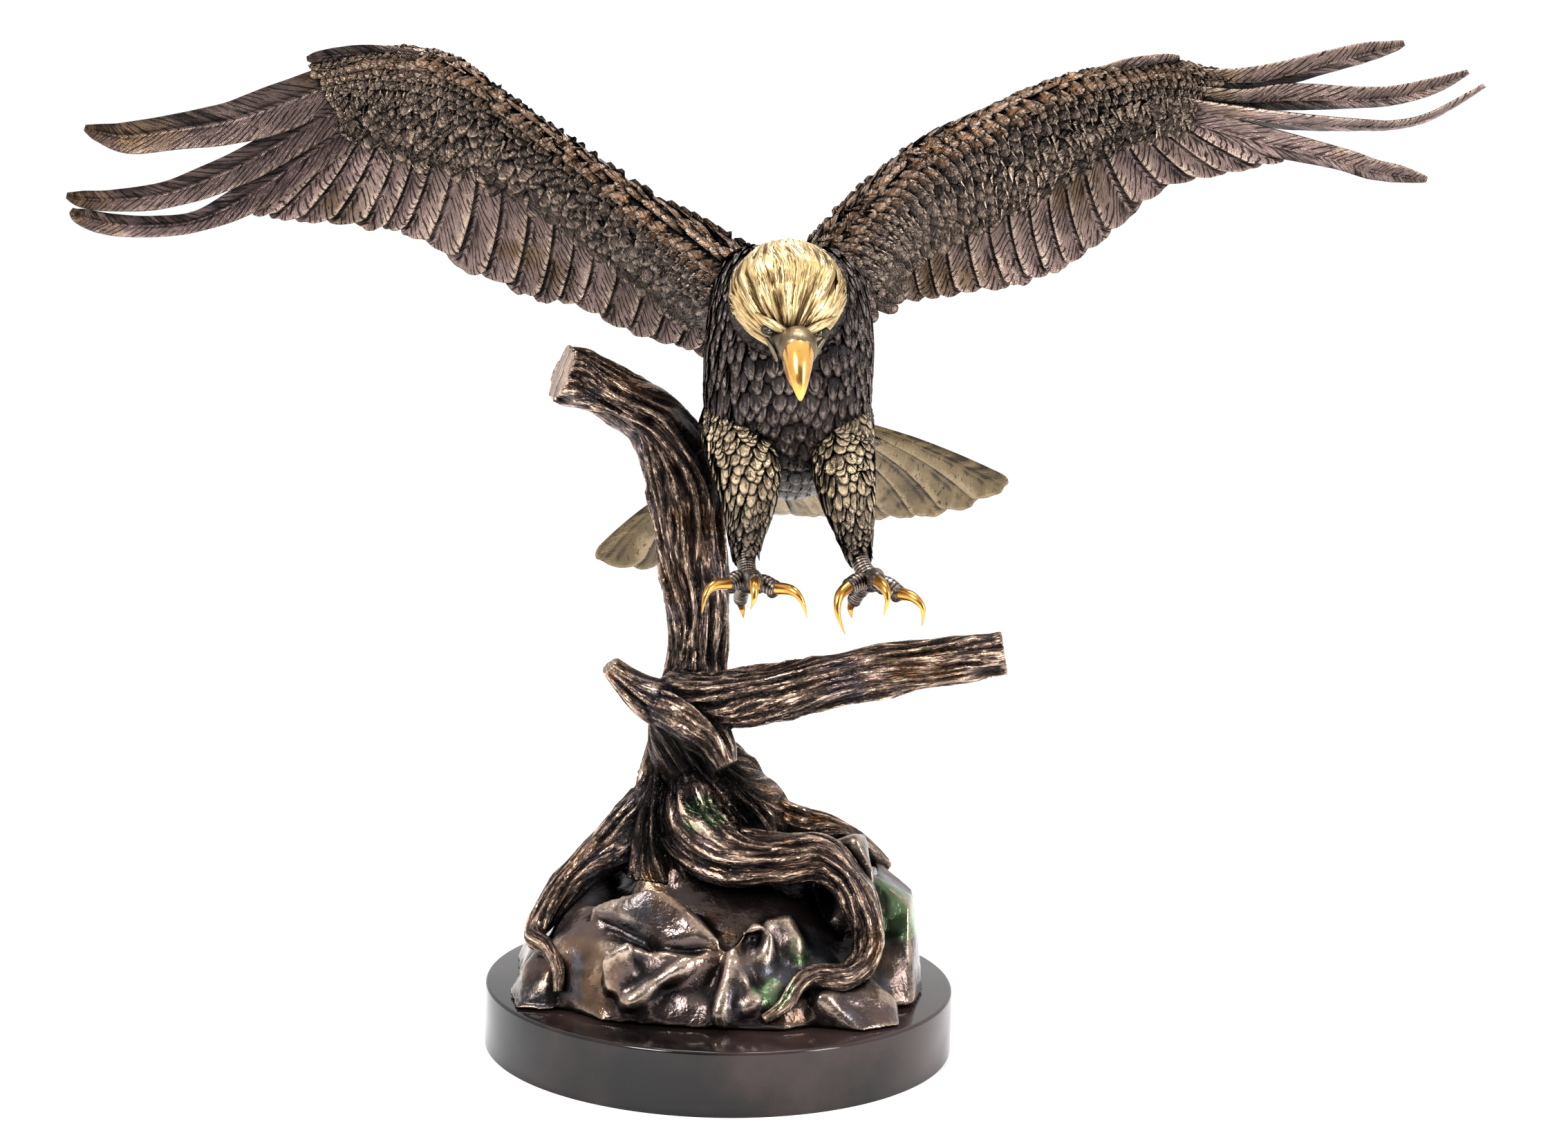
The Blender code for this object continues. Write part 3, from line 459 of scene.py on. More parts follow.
def slab(form, front, back, **values):
    """A closed thin form between two grids of equally many rows and columns."""
    rows, cols = front.shape[:2]
    size = rows * cols
    over = grid_quads(rows, cols)
    under = over[:, ::-1] + size
    ring, after = rim(rows, cols)
    sides = np.stack([after, ring, ring + size, after + size], 1)
    points = np.concatenate([front.reshape(-1, 3), back.reshape(-1, 3)])
    doubled = {key: np.tile(np.asarray(v, float).reshape(-1), 2) if np.size(v) > 1 else v
               for key, v in values.items()}
    form.closed(points, np.concatenate([over, under, sides]), **doubled)


def capped(form, rings, **values):
    """A closed form through rings of points, its ends drawn to their middles."""
    rows, sides = rings.shape[:2]
    points = np.concatenate([rings.reshape(-1, 3), [rings[0].mean(0), rings[-1].mean(0)]])
    k = np.arange(sides)
    n = (k + 1) % sides
    end = (rows - 1) * sides
    first = np.stack([n, k, np.full(sides, rows * sides)], 1)
    last = np.stack([end + k, end + n, np.full(sides, rows * sides + 1)], 1)
    spread = {}
    for key, v in values.items():
        v = np.asarray(v, float)
        spread[key] = np.append(v.reshape(-1), [v.reshape(-1)[0], v.reshape(-1)[-1]]) if v.size > 1 else v
    form.closed(points, grid_quads(rows, sides, closed=True), np.concatenate([first, last]), **spread)


class Limb:
    """A rounded form along a path. The path carries a radius, or a half width and a half depth."""

    def __init__(self, path, across=(1.0, 0.0, 0.0)):
        self.path = curve(path, np.linspace(0, 1, LIMB_SAMPLES))
        centres = self.path[:, :3]
        tangent = unit(np.gradient(centres, axis=0))
        side = np.asarray(across, float)
        sides = []
        for t in tangent:
            side = side - t * side.dot(t)
            side = side / np.linalg.norm(side)
            sides.append(side)
        self.across = np.array(sides)
        self.deep = np.cross(tangent, self.across)
        self.length = run_of(centres)

    def at(self, s, angle, swell=1.0):
        place = np.clip(s, 0.0, 1.0) * (LIMB_SAMPLES - 1)
        i = np.minimum(place.astype(int), LIMB_SAMPLES - 2)
        t = (place - i)[..., None]

        def between(table):
            return table[i] * (1 - t) + table[i + 1] * t

        row = between(self.path)
        wide, deep = row[..., 3:4] * np.expand_dims(swell, -1), row[..., -1:] * np.expand_dims(swell, -1)
        around = unit(between(self.across)) * np.cos(angle)[..., None] * wide
        return row[..., :3] + around + unit(between(self.deep)) * np.sin(angle)[..., None] * deep


def leaf(rows, cols, rounding=0.5, narrow_root=0.65, lip=0.22, ridge=0.3):
    """The pattern of one small feather: offsets across and along, heights and relief, by row and column."""
    t, u = by_rows(rows, cols), by_cols(rows, cols, -1, 1)
    width = narrow_root + (1 - narrow_root) * np.sin(np.pi * np.clip(t * 0.8, 0, 0.5))
    round_end = 1 - rounding * (1 - np.sqrt(1 - (0.97 * u) ** 2))
    edge = np.maximum(np.abs(u) ** 6, soft_step(t, 0.86, 1.0))
    height = 0.55 * (1 - u * u) + lip * edge + ridge * np.exp(-(u / 0.16) ** 2) * (1 - 0.6 * t)
    # Relief is high on the worn edges and tip, and low at the root, which lies under another feather's tip
    # and is painted in shade
    relief = np.clip(0.25 + 0.45 * t + 0.5 * edge * (0.3 + t) + 0.18 * np.exp(-(u / 0.2) ** 2), 0, 1)
    return {"t": t, "u": u * width, "along": t * round_end, "height": height, "relief": relief}


COARSE_LEAF = leaf(4, 4)
FINE_LEAF = leaf(9, 7)
BODY_LEAF = leaf(6, 5)
COVERT_LEAF = leaf(9, 7, rounding=0.72, narrow_root=0.72, lip=0.30, ridge=0.35)
LONG_LEAF = leaf(7, 5, rounding=0.45, narrow_root=0.8, lip=0.10, ridge=0.25)


def lay(form, place, sign, s, a, heading, length, width, pattern, sink=0.5, rise=1.5, lean=0.3, thick=1.0,
        zone=0.0):
    """Lays feathers on a surface, bending with it, their tips raised over the ones beyond.

    place(s, a) gives the surface; heading turns a feather from the way of s to the way of a.
    """
    count = len(s)
    heading, length, width, zone = (np.broadcast_to(np.asarray(v, float), (count,))
                                    for v in (heading, length, width, zone))
    step = 1e-3
    low, high = END_MARGIN, getattr(place, "reach", 1.0) - END_MARGIN
    inside = np.clip(s, low, high)
    scale_s = np.linalg.norm(place(inside + step, a) - place(inside - step, a), axis=-1) / (2 * step)
    scale_a = np.linalg.norm(place(inside, a + step) - place(inside, a - step), axis=-1) / (2 * step)
    rows, cols = pattern["t"].shape
    t = pattern["t"][:, 0][None, :]
    want_s = s[:, None] + (length * np.cos(heading) / scale_s)[:, None] * t
    want_a = a[:, None] + (length * np.sin(heading) / scale_a)[:, None] * t
    kept_s = np.clip(want_s, low, high)
    centre = place(kept_s, want_a)
    way_s = unit(place(kept_s + step, want_a) - place(kept_s - step, want_a))
    way_a = place(kept_s, want_a + step) - place(kept_s, want_a - step)
    normal = unit(np.cross(way_s, way_a)) * sign
    flank = unit(way_a - way_s * np.sum(way_a * way_s, -1, keepdims=True))
    centre = centre + way_s * ((want_s - kept_s) * scale_s[:, None])[..., None]
    along = unit(way_s * np.cos(heading)[:, None, None] + flank * np.sin(heading)[:, None, None])
    side = np.cross(along, normal)
    lift = -sink + (sink + rise) * t
    extra = (pattern["along"] - pattern["t"])[None] * length[:, None, None]
    height = lift[..., None] + pattern["height"][None] * thick - pattern["u"][None] * lean
    sideways = pattern["u"][None] * width[:, None, None] / 2
    points = (centre[:, :, None] + side[:, :, None] * sideways[..., None]
              + along[:, :, None] * extra[..., None] + normal[:, :, None] * height[..., None])
    middle = centre[:, rows // 2] + normal[:, rows // 2] * (lift[:, rows // 2] - LEAF_SEAM)[:, None]
    size = rows * cols
    ring, after = rim(rows, cols)
    quads = grid_quads(rows, cols)
    fan = np.stack([after, ring, np.full(len(ring), size)], 1)
    all_points = np.concatenate([points.reshape(count, -1, 3), middle[:, None]], 1)
    quads, fan = outward(all_points[0], quads, fan)
    start = np.arange(count)[:, None, None] * (size + 1)
    flat, ways, distance = (np.append(pattern[key].reshape(-1), last)
                            for key, last in (("relief", 0.0), ("u", 0.0), ("along", 0.5)))
    form.add(
        all_points,
        (quads[None] + start).reshape(-1, 4),
        (fan[None] + start).reshape(-1, 3),
        relief=np.tile(flat, count),
        across=(width[:, None] / 2 * ways[None]).reshape(-1),
        along=(length[:, None] * distance[None]).reshape(-1),
        seed=np.repeat(chance.random(count), size + 1),
        zone=np.repeat(zone, size + 1),
    )


def skin(form, place, rows, cols, back=None):
    """A closed smooth form: a surface that closes on itself around, or a front and a back."""
    s = by_rows(rows, cols)
    if back is None:
        capped(form, place(s, turns(rows, cols)), relief=0.2)
    else:
        a = by_cols(rows, cols)
        slab(form, place(s, a), back(s, a), relief=0.2)


def vane(form, centre, front, half_width, lap, thickness, zone, seed, length):
    """One long feather from grids of centre points, with its shaft, edges and barbs."""
    rows, cols = half_width.shape
    t, u = by_rows(rows, cols), by_cols(rows, cols, -1, 1)
    ridge = np.exp(-((u - SHAFT) / SHAFT_WIDTH) ** 2) * (1 - 0.75 * t)
    groove = sum(np.exp(-((u - SHAFT + gap) / GROOVE_WIDTH) ** 2) for gap in (-GROOVE_GAP, GROOVE_GAP))
    run = t * length / 5.0 - np.abs(u - SHAFT) * half_width / 3.2
    ripple = 0.30 * lumps(np.stack([u * 0.9 + seed * 31, run, u * 0 + seed * 57], -1), 1.0)
    arched = thickness * (0.4 + 0.6 * (1 - u * u)) * (1 - 0.4 * t)
    height = arched + 0.75 * ridge - 0.35 * groove * (1 - t) + ripple
    edge = np.maximum(np.maximum(-u, 0) ** 6, soft_step(t, 0.965, 1.0))
    # Relief: worn bright on the shaft, the crests and the raised edge; darker in the grooves, as patina and
    # painted shade, and towards the edge that runs under the next feather, as painted shade
    worn_and_shaded = 0.35 * ridge - 0.35 * groove + 0.5 * edge * (0.35 + 0.65 * t) + 0.9 * ripple
    relief = np.clip(0.45 - 0.25 * u + worn_and_shaded, 0, 1)
    lifted = centre - front * (u * 0.5 * lap)[..., None]
    sunk = 0.5 * thickness * (1 - 0.4 * t)
    slab(form, lifted + front * height[..., None], lifted - front * sunk[..., None],
         relief=relief, across=(u - SHAFT) * half_width, along=t * length, seed=seed, zone=zone)


def sheet_of(form, count, chord, facing, lap, flipped, thickness=1.1, rows=52, cols=17, tip_round=9.0):
    """A fan of long feathers lying over one another.

    chord gives root, middle and tip at shares along the fan. The first flipped feathers lie the other way.
    """
    for k in range(count):
        low, high = max(0.0, (k - FAN_OVERLAP) / count), min(1.0, (k + 1 + FAN_OVERLAP) / count)
        shares = np.linspace(low, high, cols)
        if k < flipped:
            shares = shares[::-1]
        root, middle, tip = chord(shares)
        length = np.mean(np.linalg.norm(tip - root, axis=-1))
        u = np.linspace(-1, 1, cols)
        frayed = 0.012 * lumps(np.stack([u * 3, u * 0 + k, u * 0 + count], -1), 1.0)
        rounded = tip_round / length * (1 - np.sqrt(1 - (0.97 * u) ** 2))
        reach = 1 - rounded + frayed + 0.012 * chance.normal()
        t = (np.linspace(0, 1, rows)[:, None] * reach[None])[..., None]
        centre = arch(root, middle, tip, t)
        tangent = unit(tip - root)[None]
        front = unit(facing - tangent * (tangent @ facing)[..., None]) * np.ones((rows, 1, 1))
        half = np.linalg.norm(centre[:, -1] - centre[:, 0], axis=-1)[:, None] / 2 * np.ones(cols)
        vane(form, centre, front, half, lap * np.minimum(1.0, 2.5 * t[..., 0]), thickness, 0.0,
             chance.random(), length)


def free_feather(form, path, facing, zone):
    rows, cols = 72, 17
    points = curve(path, np.linspace(0, 1, rows))
    tangent = unit(np.gradient(points[:, :3], axis=0))
    front = unit(facing - tangent * (tangent @ facing)[:, None])
    side = np.cross(tangent, front)
    u = np.linspace(-1, 1, cols)
    spot = np.stack([np.linspace(0, 14, rows), np.zeros(rows), np.zeros(rows) + path[0][2]], -1)
    wave = 1 + 0.03 * lumps(spot, 1.0)
    half = (points[:, 3] * wave)[:, None] * np.ones(cols)
    centre = points[:, None, :3] + side[:, None] * (u[None] * half)[..., None]
    front = front[:, None] * np.ones((1, cols, 1))
    vane(form, centre, front, half, 0.0 * half, FREE_THICKNESS, zone, chance.random(), run_of(points))


def wing(label, data, finish, covert_finish):
    side = data["side"]

    def arm(face):
        def place(share, c):
            nose, heel = curve(data["edge"], share), curve(data["covert_edge"], share)
            middle = nose[..., :3] + (heel - nose[..., :3]) * c[..., None]
            bulge = np.interp(c, *zip(*WING_PROFILE)) * nose[..., 3]
            chord_way = unit(heel - nose[..., :3])
            front = unit(TOWARDS_VIEWER - chord_way * (chord_way @ TOWARDS_VIEWER)[..., None])
            return middle + front * (bulge * face)[..., None]
        return place

    def flight(shares):
        root, tip = curve(data["roots"], shares), curve(data["tips"], shares)
        middle = (root + tip) / 2
        middle[:, 0] -= side * FLIGHT_BEND * np.linalg.norm(tip - root, axis=-1)
        middle[:, 1] += 6
        return root, middle, tip

    feathers = Form()
    sheet_of(feathers, FLIGHTS, flight, TOWARDS_VIEWER, FLIGHT_LAP, 0)
    for path, turn in data["free"]:
        along = Vector(np.subtract(path[-1][:3], path[0][:3]).tolist()).normalized()
        turned = Matrix.Rotation(side * math.radians(turn), 3, along) @ Vector(TOWARDS_VIEWER.tolist())
        shown_share = math.cos(math.radians(turn))
        widened = [(*p[:3], p[3] / shown_share) for p in path]
        free_feather(feathers, widened, np.array(turned), 0.7 - 0.3 * side)
    feathers.piece(f"{label}_flight_feathers", finish)

    coverts = Form()
    skin(coverts, arm(1.0), 60, 18, back=arm(-1.0))
    span = run_of(curve(data["edge"], np.linspace(0, 1, 50)))
    for face, pattern in ((1.0, COVERT_LEAF), (-1.0, COARSE_LEAF)):
        place = arm(face)
        for j, (c, turn, length, width) in enumerate(COVERT_ROWS):
            count = int(span / (0.74 * width))
            share = np.clip(staggered(count, j, 0.12) / count, 0.0, 0.985)
            at_c = np.full(count, c) + 0.012 * chance.normal(size=count) + 0.01
            narrowing = 1 - 0.35 * share
            ruffled = 0.05 + 0.09 * soft_step(c, 0.12, 0.40)
            heading = math.radians(turn) + ruffled * chance.normal(size=count)
            long = length * (0.75 + 0.25 * narrowing) * (1 + 0.8 * ruffled * chance.normal(size=count))
            lay(coverts, place, side * -1.0 * face, share, at_c, heading, long,
                width * 1.08 * (0.8 + 0.2 * narrowing), pattern, rise=1.6 + 7.0 * ruffled, lean=0.35,
                zone=-1.0 + 0.95 * soft_step(c, 0.03, 0.22))
    coverts.piece(f"{label}_coverts", covert_finish)


def shingled(form, limb, rows, around, size, pattern, rise, direction=1.0, start=0.02, end=0.98,
             stretch=lambda s, a: 1.0, zone=lambda s: 0.0):
    """Rows of small feathers around a limb. size gives width at a share of the way along."""
    for j in range(rows):
        share = start + (end - start) * j / (rows - 1)
        count = around(share)
        a = staggered(count, j, 0.15) * 2 * np.pi / count
        s = share + 0.25 * (end - start) / rows * chance.normal(size=count)
        wide = size(share) * np.ones(count)
        pull = stretch(s, a) * np.ones(count)
        heading = (0.0 if direction > 0 else math.pi) + 0.10 * chance.normal(size=count)
        lay(form, limb.at, -1, s, a, heading, wide * LEAF_LENGTH * pull, wide / pull ** 0.5, pattern,
            rise=rise, zone=zone(s))


def body(finish):
    form = Form()
    trunk = Limb(BODY)
    skin(form, trunk.at, 60, 48)

    def girth(share):
        row = curve(BODY, np.array([share]))[0]
        return max(8, int(math.pi * (row[3] + row[4]) / 6.8))

    def streaks(_, a):
        return 1.0 + 0.9 * np.abs(np.cos(a)) ** 2

    shingled(form, trunk, 33, girth, lambda s: 9.4 - 1.5 * s, BODY_LEAF, 1.5, stretch=streaks)
    neck = Limb(NECK)
    skin(form, neck.at, 40, 48)
    shingled(form, neck, 15, lambda s: 40, lambda s: 7.4, BODY_LEAF, 1.6, direction=-1,
             stretch=lambda s, a: 1.6)
    for path in LEGS.values():
        leg = Limb(path)
        skin(form, leg.at, 60, 32)
        shingled(form, leg, 22, lambda s: int(11 + 11 * (1 - s)), lambda s: 11.4 - 5.6 * s, LONG_LEAF, 1.9,
                 start=0.0, end=0.66, stretch=lambda s, a: 1.0 + 0.9 * soft_step(s, 0.3, 0.62),
                 zone=lambda s: 1.0 - 0.55 * soft_step(s, 0.34, 0.60) - 0.5 * (1 - soft_step(s, 0.0, 0.16)))
    form.piece("body_and_thighs", finish)


def head_place(theta, phi):
    wide, long, high = HEAD_RADII
    narrow = 1.0 - 0.30 * np.maximum(0.0, np.cos(theta))
    ring = (HEAD_ACROSS * (np.cos(phi) * wide)[..., None] + HEAD_UP * (np.sin(phi) * high)[..., None])
    forward = HEAD_LOOKS * (np.cos(theta) * long)[..., None]
    return HEAD_CENTRE + forward + ring * (np.sin(theta) * narrow)[..., None]


head_place.reach = math.pi


def ball(form, centre, radii, **values):
    theta = by_rows(BALL_ROWS, BALL_COLS, 0.02, np.pi - 0.02)
    phi = turns(BALL_ROWS, BALL_COLS)
    local = np.stack([np.sin(theta) * np.cos(phi) * radii[0], np.sin(theta) * np.sin(phi) * radii[1],
                      np.cos(theta) * radii[2]], -1)
    capped(form, np.asarray(centre) + local, **values)


def pipe(form, path, rows, cols, shape=None, side=(1.0, 0.0, 0.0), **values):
    """A smooth tapering form along a path; shape changes the radius by share and angle."""
    limb = Limb(path, side)
    s, a = by_rows(rows, cols), turns(rows, cols)
    swell = shape(s, a) if shape else np.ones_like(s)
    capped(form, limb.at(s, a, swell), **{k: v(s, a) if callable(v) else v for k, v in values.items()})


def head(gold, dark, polished):
    form = Form()
    rows, cols = 104, 340
    theta, phi = by_rows(rows, cols, 0.05, np.pi - 0.05), turns(rows, cols)
    swirl = phi + 0.35 * np.sin(phi) * np.cos(phi) * soft_step(theta, 0.3, 1.6)
    swirl = swirl + 0.16 * lumps(np.stack([np.cos(phi), np.sin(phi), theta], -1) * 1.4, 1.0, 9)

    def combed(count, length, shift):
        around = count / (2 * np.pi)
        spot = np.stack([np.cos(swirl) * around, np.sin(swirl) * around, theta * length + shift], -1)
        return 1 - 2 * np.abs(lumps(spot, 1.0, shift))

    hair = combed(40, 1.5, 3) + 0.7 * combed(88, 2.2, 4)
    amount = (0.75 * hair) * soft_step(theta, 0.1, 0.7)
    smooth = head_place(theta, phi)
    out = unit(smooth - HEAD_CENTRE)
    capped(form, smooth + out * amount[..., None], relief=np.clip(0.12 + 0.50 * hair, 0, 1),
           across=apart(swirl) * HEAD_RADII[0], along=theta * HEAD_RADII[1])
    lock = leaf(12, 6, rounding=0.3, narrow_root=0.6, lip=0.0, ridge=0.3)
    for j, start in enumerate(np.radians([58, 72, 86, 98, 108])):
        count = int(20 + 34 * math.sin(start))
        phi = staggered(count, j, 0.2) * 2 * np.pi / count
        phi = phi[np.sin(phi) < 0.35]
        theta = start + 0.07 * chance.normal(size=len(phi))
        long = (24 + 1.2 * j) * (1 + 0.12 * chance.normal(size=len(phi)))
        heading = 0.10 * chance.normal(size=len(phi)) + 0.12 * np.cos(phi) * np.sin(phi)
        lay(form, head_place, 1, theta, phi, heading, long * 1.25, 3.7, lock, sink=0.3,
            rise=0.9 + 0.5 * max(0, j - 2), lean=0.05, thick=1.25)

    probe = Form()
    capped(probe, smooth)
    shell = BVHTree.FromPolygons(
        [tuple(p) for p in np.concatenate(probe.points)],
        [tuple(int(i) for i in f) for f in np.concatenate(probe.quads)],
    )

    def on_head(x, z, lift=0.0):
        """The point of the head's front seen at a place across and up, moved towards the viewer."""
        hit = shell.ray_cast(Vector((x, -400.0, z)), Vector((0.0, 1.0, 0.0)))[0]
        return (x, hit.y - lift, z)

    face = Form()
    muzzle = [(34.5, -110, 421, 15, 9), (35.5, -119, 418, 14, 10), (36.7, -128.5, 415.5, 12, 10.6),
              (38, -136.5, 413, 9.9, 9.8), (38.3, -139, 411.6, 9.0, 9.0)]
    pipe(face, muzzle, 26, 32, relief=0.45)
    cere = [(37.7, -130.5, 418.2, 10.2), (38.0, -135.0, 415.8, 11.1), (38.3, -139.3, 412.9, 11.2),
            (38.5, -141.8, 410.9, 9.9)]
    pipe(face, cere, 20, 32, relief=0.30, zone=1.0)
    for mirror in (-1, 1):
        brow = [(*on_head(FACE_MIDDLE + mirror * x, z, lift), radius) for x, z, lift, radius in BROW]
        pipe(form, brow, 24, 14, relief=lambda s, a: 0.45 + 0.25 * np.sin(np.pi * s),
             across=lambda s, a: 2.4 * np.abs(a - np.pi), along=lambda s, a: 28.0 * s)
        # Painted shade: a dark socket under each brow, where the brow shades the eye
        ball(face, on_head(FACE_MIDDLE + mirror * 14.0, 424.0, -1.0), (6.4, 2.6, 3.4), relief=0.0)
        gape = [(FACE_MIDDLE + mirror * x, y, z, radius) for x, y, z, radius in GAPE]
        pipe(face, gape, 18, 10, relief=0.45, zone=0.2)
    form.piece("head_feathers", gold)
    face.piece("face", dark)

    eyes = Form()
    for mirror in (-1, 1):
        x, y, z = on_head(36.3 + mirror * 14.0, 423.4, 0.0)
        ball(eyes, (x, y + 0.1, z), (3.0, 2.6, 2.5), relief=0.5)
    eyes.piece("eyes", eye_finish())

    beak = Form()

    def culmen(_, a):
        keel = 0.13 * np.cos(a + math.pi / 2) ** 8 * np.where(np.sin(a) < 0, 1, 0)
        return 1.0 + keel - 0.06 * np.cos(2 * a)

    upper = [(37.8, -132.5, 417, 9.9), (38.3, -139.5, 412.5, 10.0), (38.9, -146.4, 405.5, 8.7),
             (39.5, -151.2, 398, 6.5), (40.1, -153.5, 391, 4.1), (40.4, -153.8, 386.5, 2.0),
             (40.4, -153.3, 384.6, 0.7)]
    pipe(beak, upper, 40, 36, culmen, relief=0.8)
    lower = [(37.4, -127, 409, 8.6), (38.2, -136, 401, 7.2), (38.9, -143, 395, 5.0), (39.3, -147, 391.5, 2.2),
             (39.4, -148, 390.5, 0.9)]
    pipe(beak, lower, 26, 24, relief=0.7)
    beak.piece("beak", polished)

    nostrils = Form()
    # Painted shade: dark glossy balls stand for the shaded hollows of the nostrils
    for mirror in (-1, 1):
        ball(nostrils, (38.0 + mirror * 7.6, -143.0, 416.0), (1.9, 1.2, 1.2), relief=0.0)
    nostrils.piece("nostrils", eye_finish())


def feet(finish, polished):
    form, talons = Form(), Form()

    def scutes(pitch, length, depth):
        def shape(s, a):
            wave = np.abs(np.sin(np.pi * s * length / pitch))
            front = 0.55 + 0.45 * np.cos(a - 1.5 * math.pi)
            return 1 + depth * (wave ** 0.6 - 0.5) * front
        return shape

    def scute_relief(pitch, length):
        return lambda s, a: np.abs(np.sin(np.pi * s * length / pitch)) ** 0.7

    for label, path in LEGS.items():
        shank = [tuple(p) for p in curve(path, np.linspace(0.56, 1.0, 8))]
        length = Limb(shank).length
        pipe(form, shank, 90, 22, scutes(2.3, length, 0.14), relief=scute_relief(2.3, length))
        ball(form, path[-1][:3], (8.2, 8.6, 7.4), relief=0.4)
        for toe, (pad, claw) in enumerate(FEET[label]):
            reach = TOE_RADIUS * (0.88 if toe == 3 else 1.0)
            padded = [(*pad[0], reach), (*pad[1], reach * 1.06), (*pad[2], reach * 0.92)]
            length = Limb(padded).length + 4
            pipe(form, padded, 36, 18, scutes(2.6, length, 0.16), side=TOE_SIDE,
                 relief=scute_relief(2.6, length))
            for share in (0.35, 0.8):
                bump = curve(pad, np.array([share]))[0]
                ball(form, bump - np.array([0, 0, reach * 0.55]), (reach * 0.72,) * 3, relief=0.35)
            start, after = np.array(claw[0], float), np.array(claw[1], float)
            way = unit(after - start)
            cuff = [(*(start - way * 2.5), reach * 0.86), (*start, reach * 0.98),
                    (*(start + way * 2.2), reach * 0.8)]
            pipe(form, cuff, 14, 20, side=TOE_SIDE, relief=0.6)
            swell = [TALON_RADIUS * (0.85 if toe == 3 else 1.0) * (1 - 0.93 * share ** 1.25)
                     for share in np.linspace(0, 1, len(claw))]
            pipe(talons, [(*p, r) for p, r in zip(claw, swell)], 30, 16, side=TOE_SIDE, relief=0.8)
    form.piece("feet", finish)
    talons.piece("talons", polished)


def tail(finish):
    form = Form()

    def chord(shares):
        return curve(TAIL_ROOTS, shares), curve(TAIL_MIDDLES, shares), curve(TAIL_TIPS, shares)

    sheet_of(form, TAIL_COUNT, chord, TAIL_LOOKS, TAIL_LAP, TAIL_COUNT // 2, thickness=1.3, rows=60, cols=19,
             tip_round=15.0)

    def under(face):
        def place(s, a):
            root, middle, tip = chord(np.clip(s, 0, 1))
            t = a[..., None]
            return arch(root, middle, tip, t) + TAIL_LOOKS * face * (3.2 - 1.0 * t)
        return place

    for face in (1.0, -1.0):
        for j, (t, length, width) in enumerate([(0.0, 22, 11), (0.09, 22, 12), (0.18, 22, 13)]):
            count = int((80 + 200 * t) / (0.75 * width))
            s = 0.10 + 0.80 * staggered(count, j, 0.1) / count
            lay(form, under(face), face, s, np.full(count, t), math.pi / 2, length, width, FINE_LEAF,
                rise=0.9)
    form.piece("tail", finish)


def bark(form, path, rings, sides, strands, depth, twist, seed, across=(1.0, 0.0, 0.0)):
    """Dead wood: a form whose skin is bundled in strands that run along it and wander."""
    limb = Limb(path, across)
    s, a = by_rows(rings, sides), turns(rings, sides)
    drift = 0.45 * lumps(np.stack([np.cos(a) + seed, np.sin(a), s * limb.length / 45], -1), 1.0, seed)
    turned = a + twist * s + drift
    around = strands / (2 * np.pi)
    run = s * limb.length

    def strand(width, stretch, shift):
        spot = np.stack([np.cos(turned) * around / width, np.sin(turned) * around / width,
                         run / stretch + shift], -1)
        return 1 - 2 * np.abs(lumps(spot, 1.0, seed + shift))

    lump = lumps(np.stack([np.cos(a) * 1.3, np.sin(a) * 1.3 + seed, run / 26], -1), 1.0, seed + 5)
    ropes = strand(1.0, 42, 1) + 0.7 * strand(0.5, 26, 2) + 0.4 * strand(0.27, 16, 3)
    swell = 1 + depth * ropes + 0.08 * lump
    girth = limb.path[:, 3].mean()
    capped(form, limb.at(s, a, swell), across=apart(turned) * girth, along=run)


def remeshed(form, name, cell, smooth=0, keep=1.0):
    """The form's outside as one skin, in drawing units."""
    obj = placed(name, form.mesh(name))
    modifier = obj.modifiers.new("Skin", "REMESH")
    modifier.mode = "VOXEL"
    modifier.voxel_size = cell * UNIT
    if keep < 1.0:
        obj.modifiers.new("Thin", "DECIMATE").ratio = keep
    if smooth:
        easing = obj.modifiers.new("Ease", "SMOOTH")
        easing.iterations = smooth
        easing.factor = 0.5
    evaluated = obj.evaluated_get(bpy.context.evaluated_depsgraph_get())
    result = bpy.data.meshes.new_from_object(evaluated)
    bpy.data.objects.remove(obj)
    points = np.empty(len(result.vertices) * 3)
    result.vertices.foreach_get("co", points)
    points = points.reshape(-1, 3)
    points[:, 2] -= DRAWING_BASE
    return points / UNIT, result


def carried(form, points, names):
    """For each point of a common skin, the values of the nearest point of the forms under it."""
    source = np.concatenate(form.points)
    finder = KDTree(len(source))
    for i, point in enumerate(source):
        finder.insert(point, i)
    finder.balance()
    nearest = np.array([finder.find(point)[1] for point in points])
    return {name: np.concatenate(form.values[name])[nearest] for name in names}


def settle(result, points, relief, name, **values):
    """Gives a common skin its points, its values and its name."""

    def spot(centre, reach):
        """1 in the middle of a spot, easing to 0 at its edge."""
        return 1 - soft_step(np.linalg.norm(points - np.array(centre), axis=1) / reach, 0.3, 1.0)

    green_and_shade = np.zeros(len(points))
    for *centre, reach in GREEN_SPOTS:
        green_and_shade = np.maximum(green_and_shade, spot(centre, reach))
    # The painted shade spots push the zone below zero, where the bark finish paints them almost black
    for *centre, reach in SHADE_SPOTS:
        green_and_shade = green_and_shade - spot(centre, reach) * (green_and_shade <= 0)
    result.vertices.foreach_set("co", to_world(points).ravel())
    for layer in [a.name for a in result.attributes if a.name in VALUES]:
        result.attributes.remove(result.attributes[layer])
    for key, numbers in {"relief": relief, "zone": green_and_shade, **values}.items():
        write_value(result, key, numbers)
    result.update()
    result.shade_smooth()
    result.name = name
    result.materials.clear()
    return result


def normals_of(mesh):
    found = np.empty(len(mesh.vertices) * 3, np.float32)
    mesh.vertex_normals.foreach_get("vector", found)
    return found.reshape(-1, 3).astype(float)


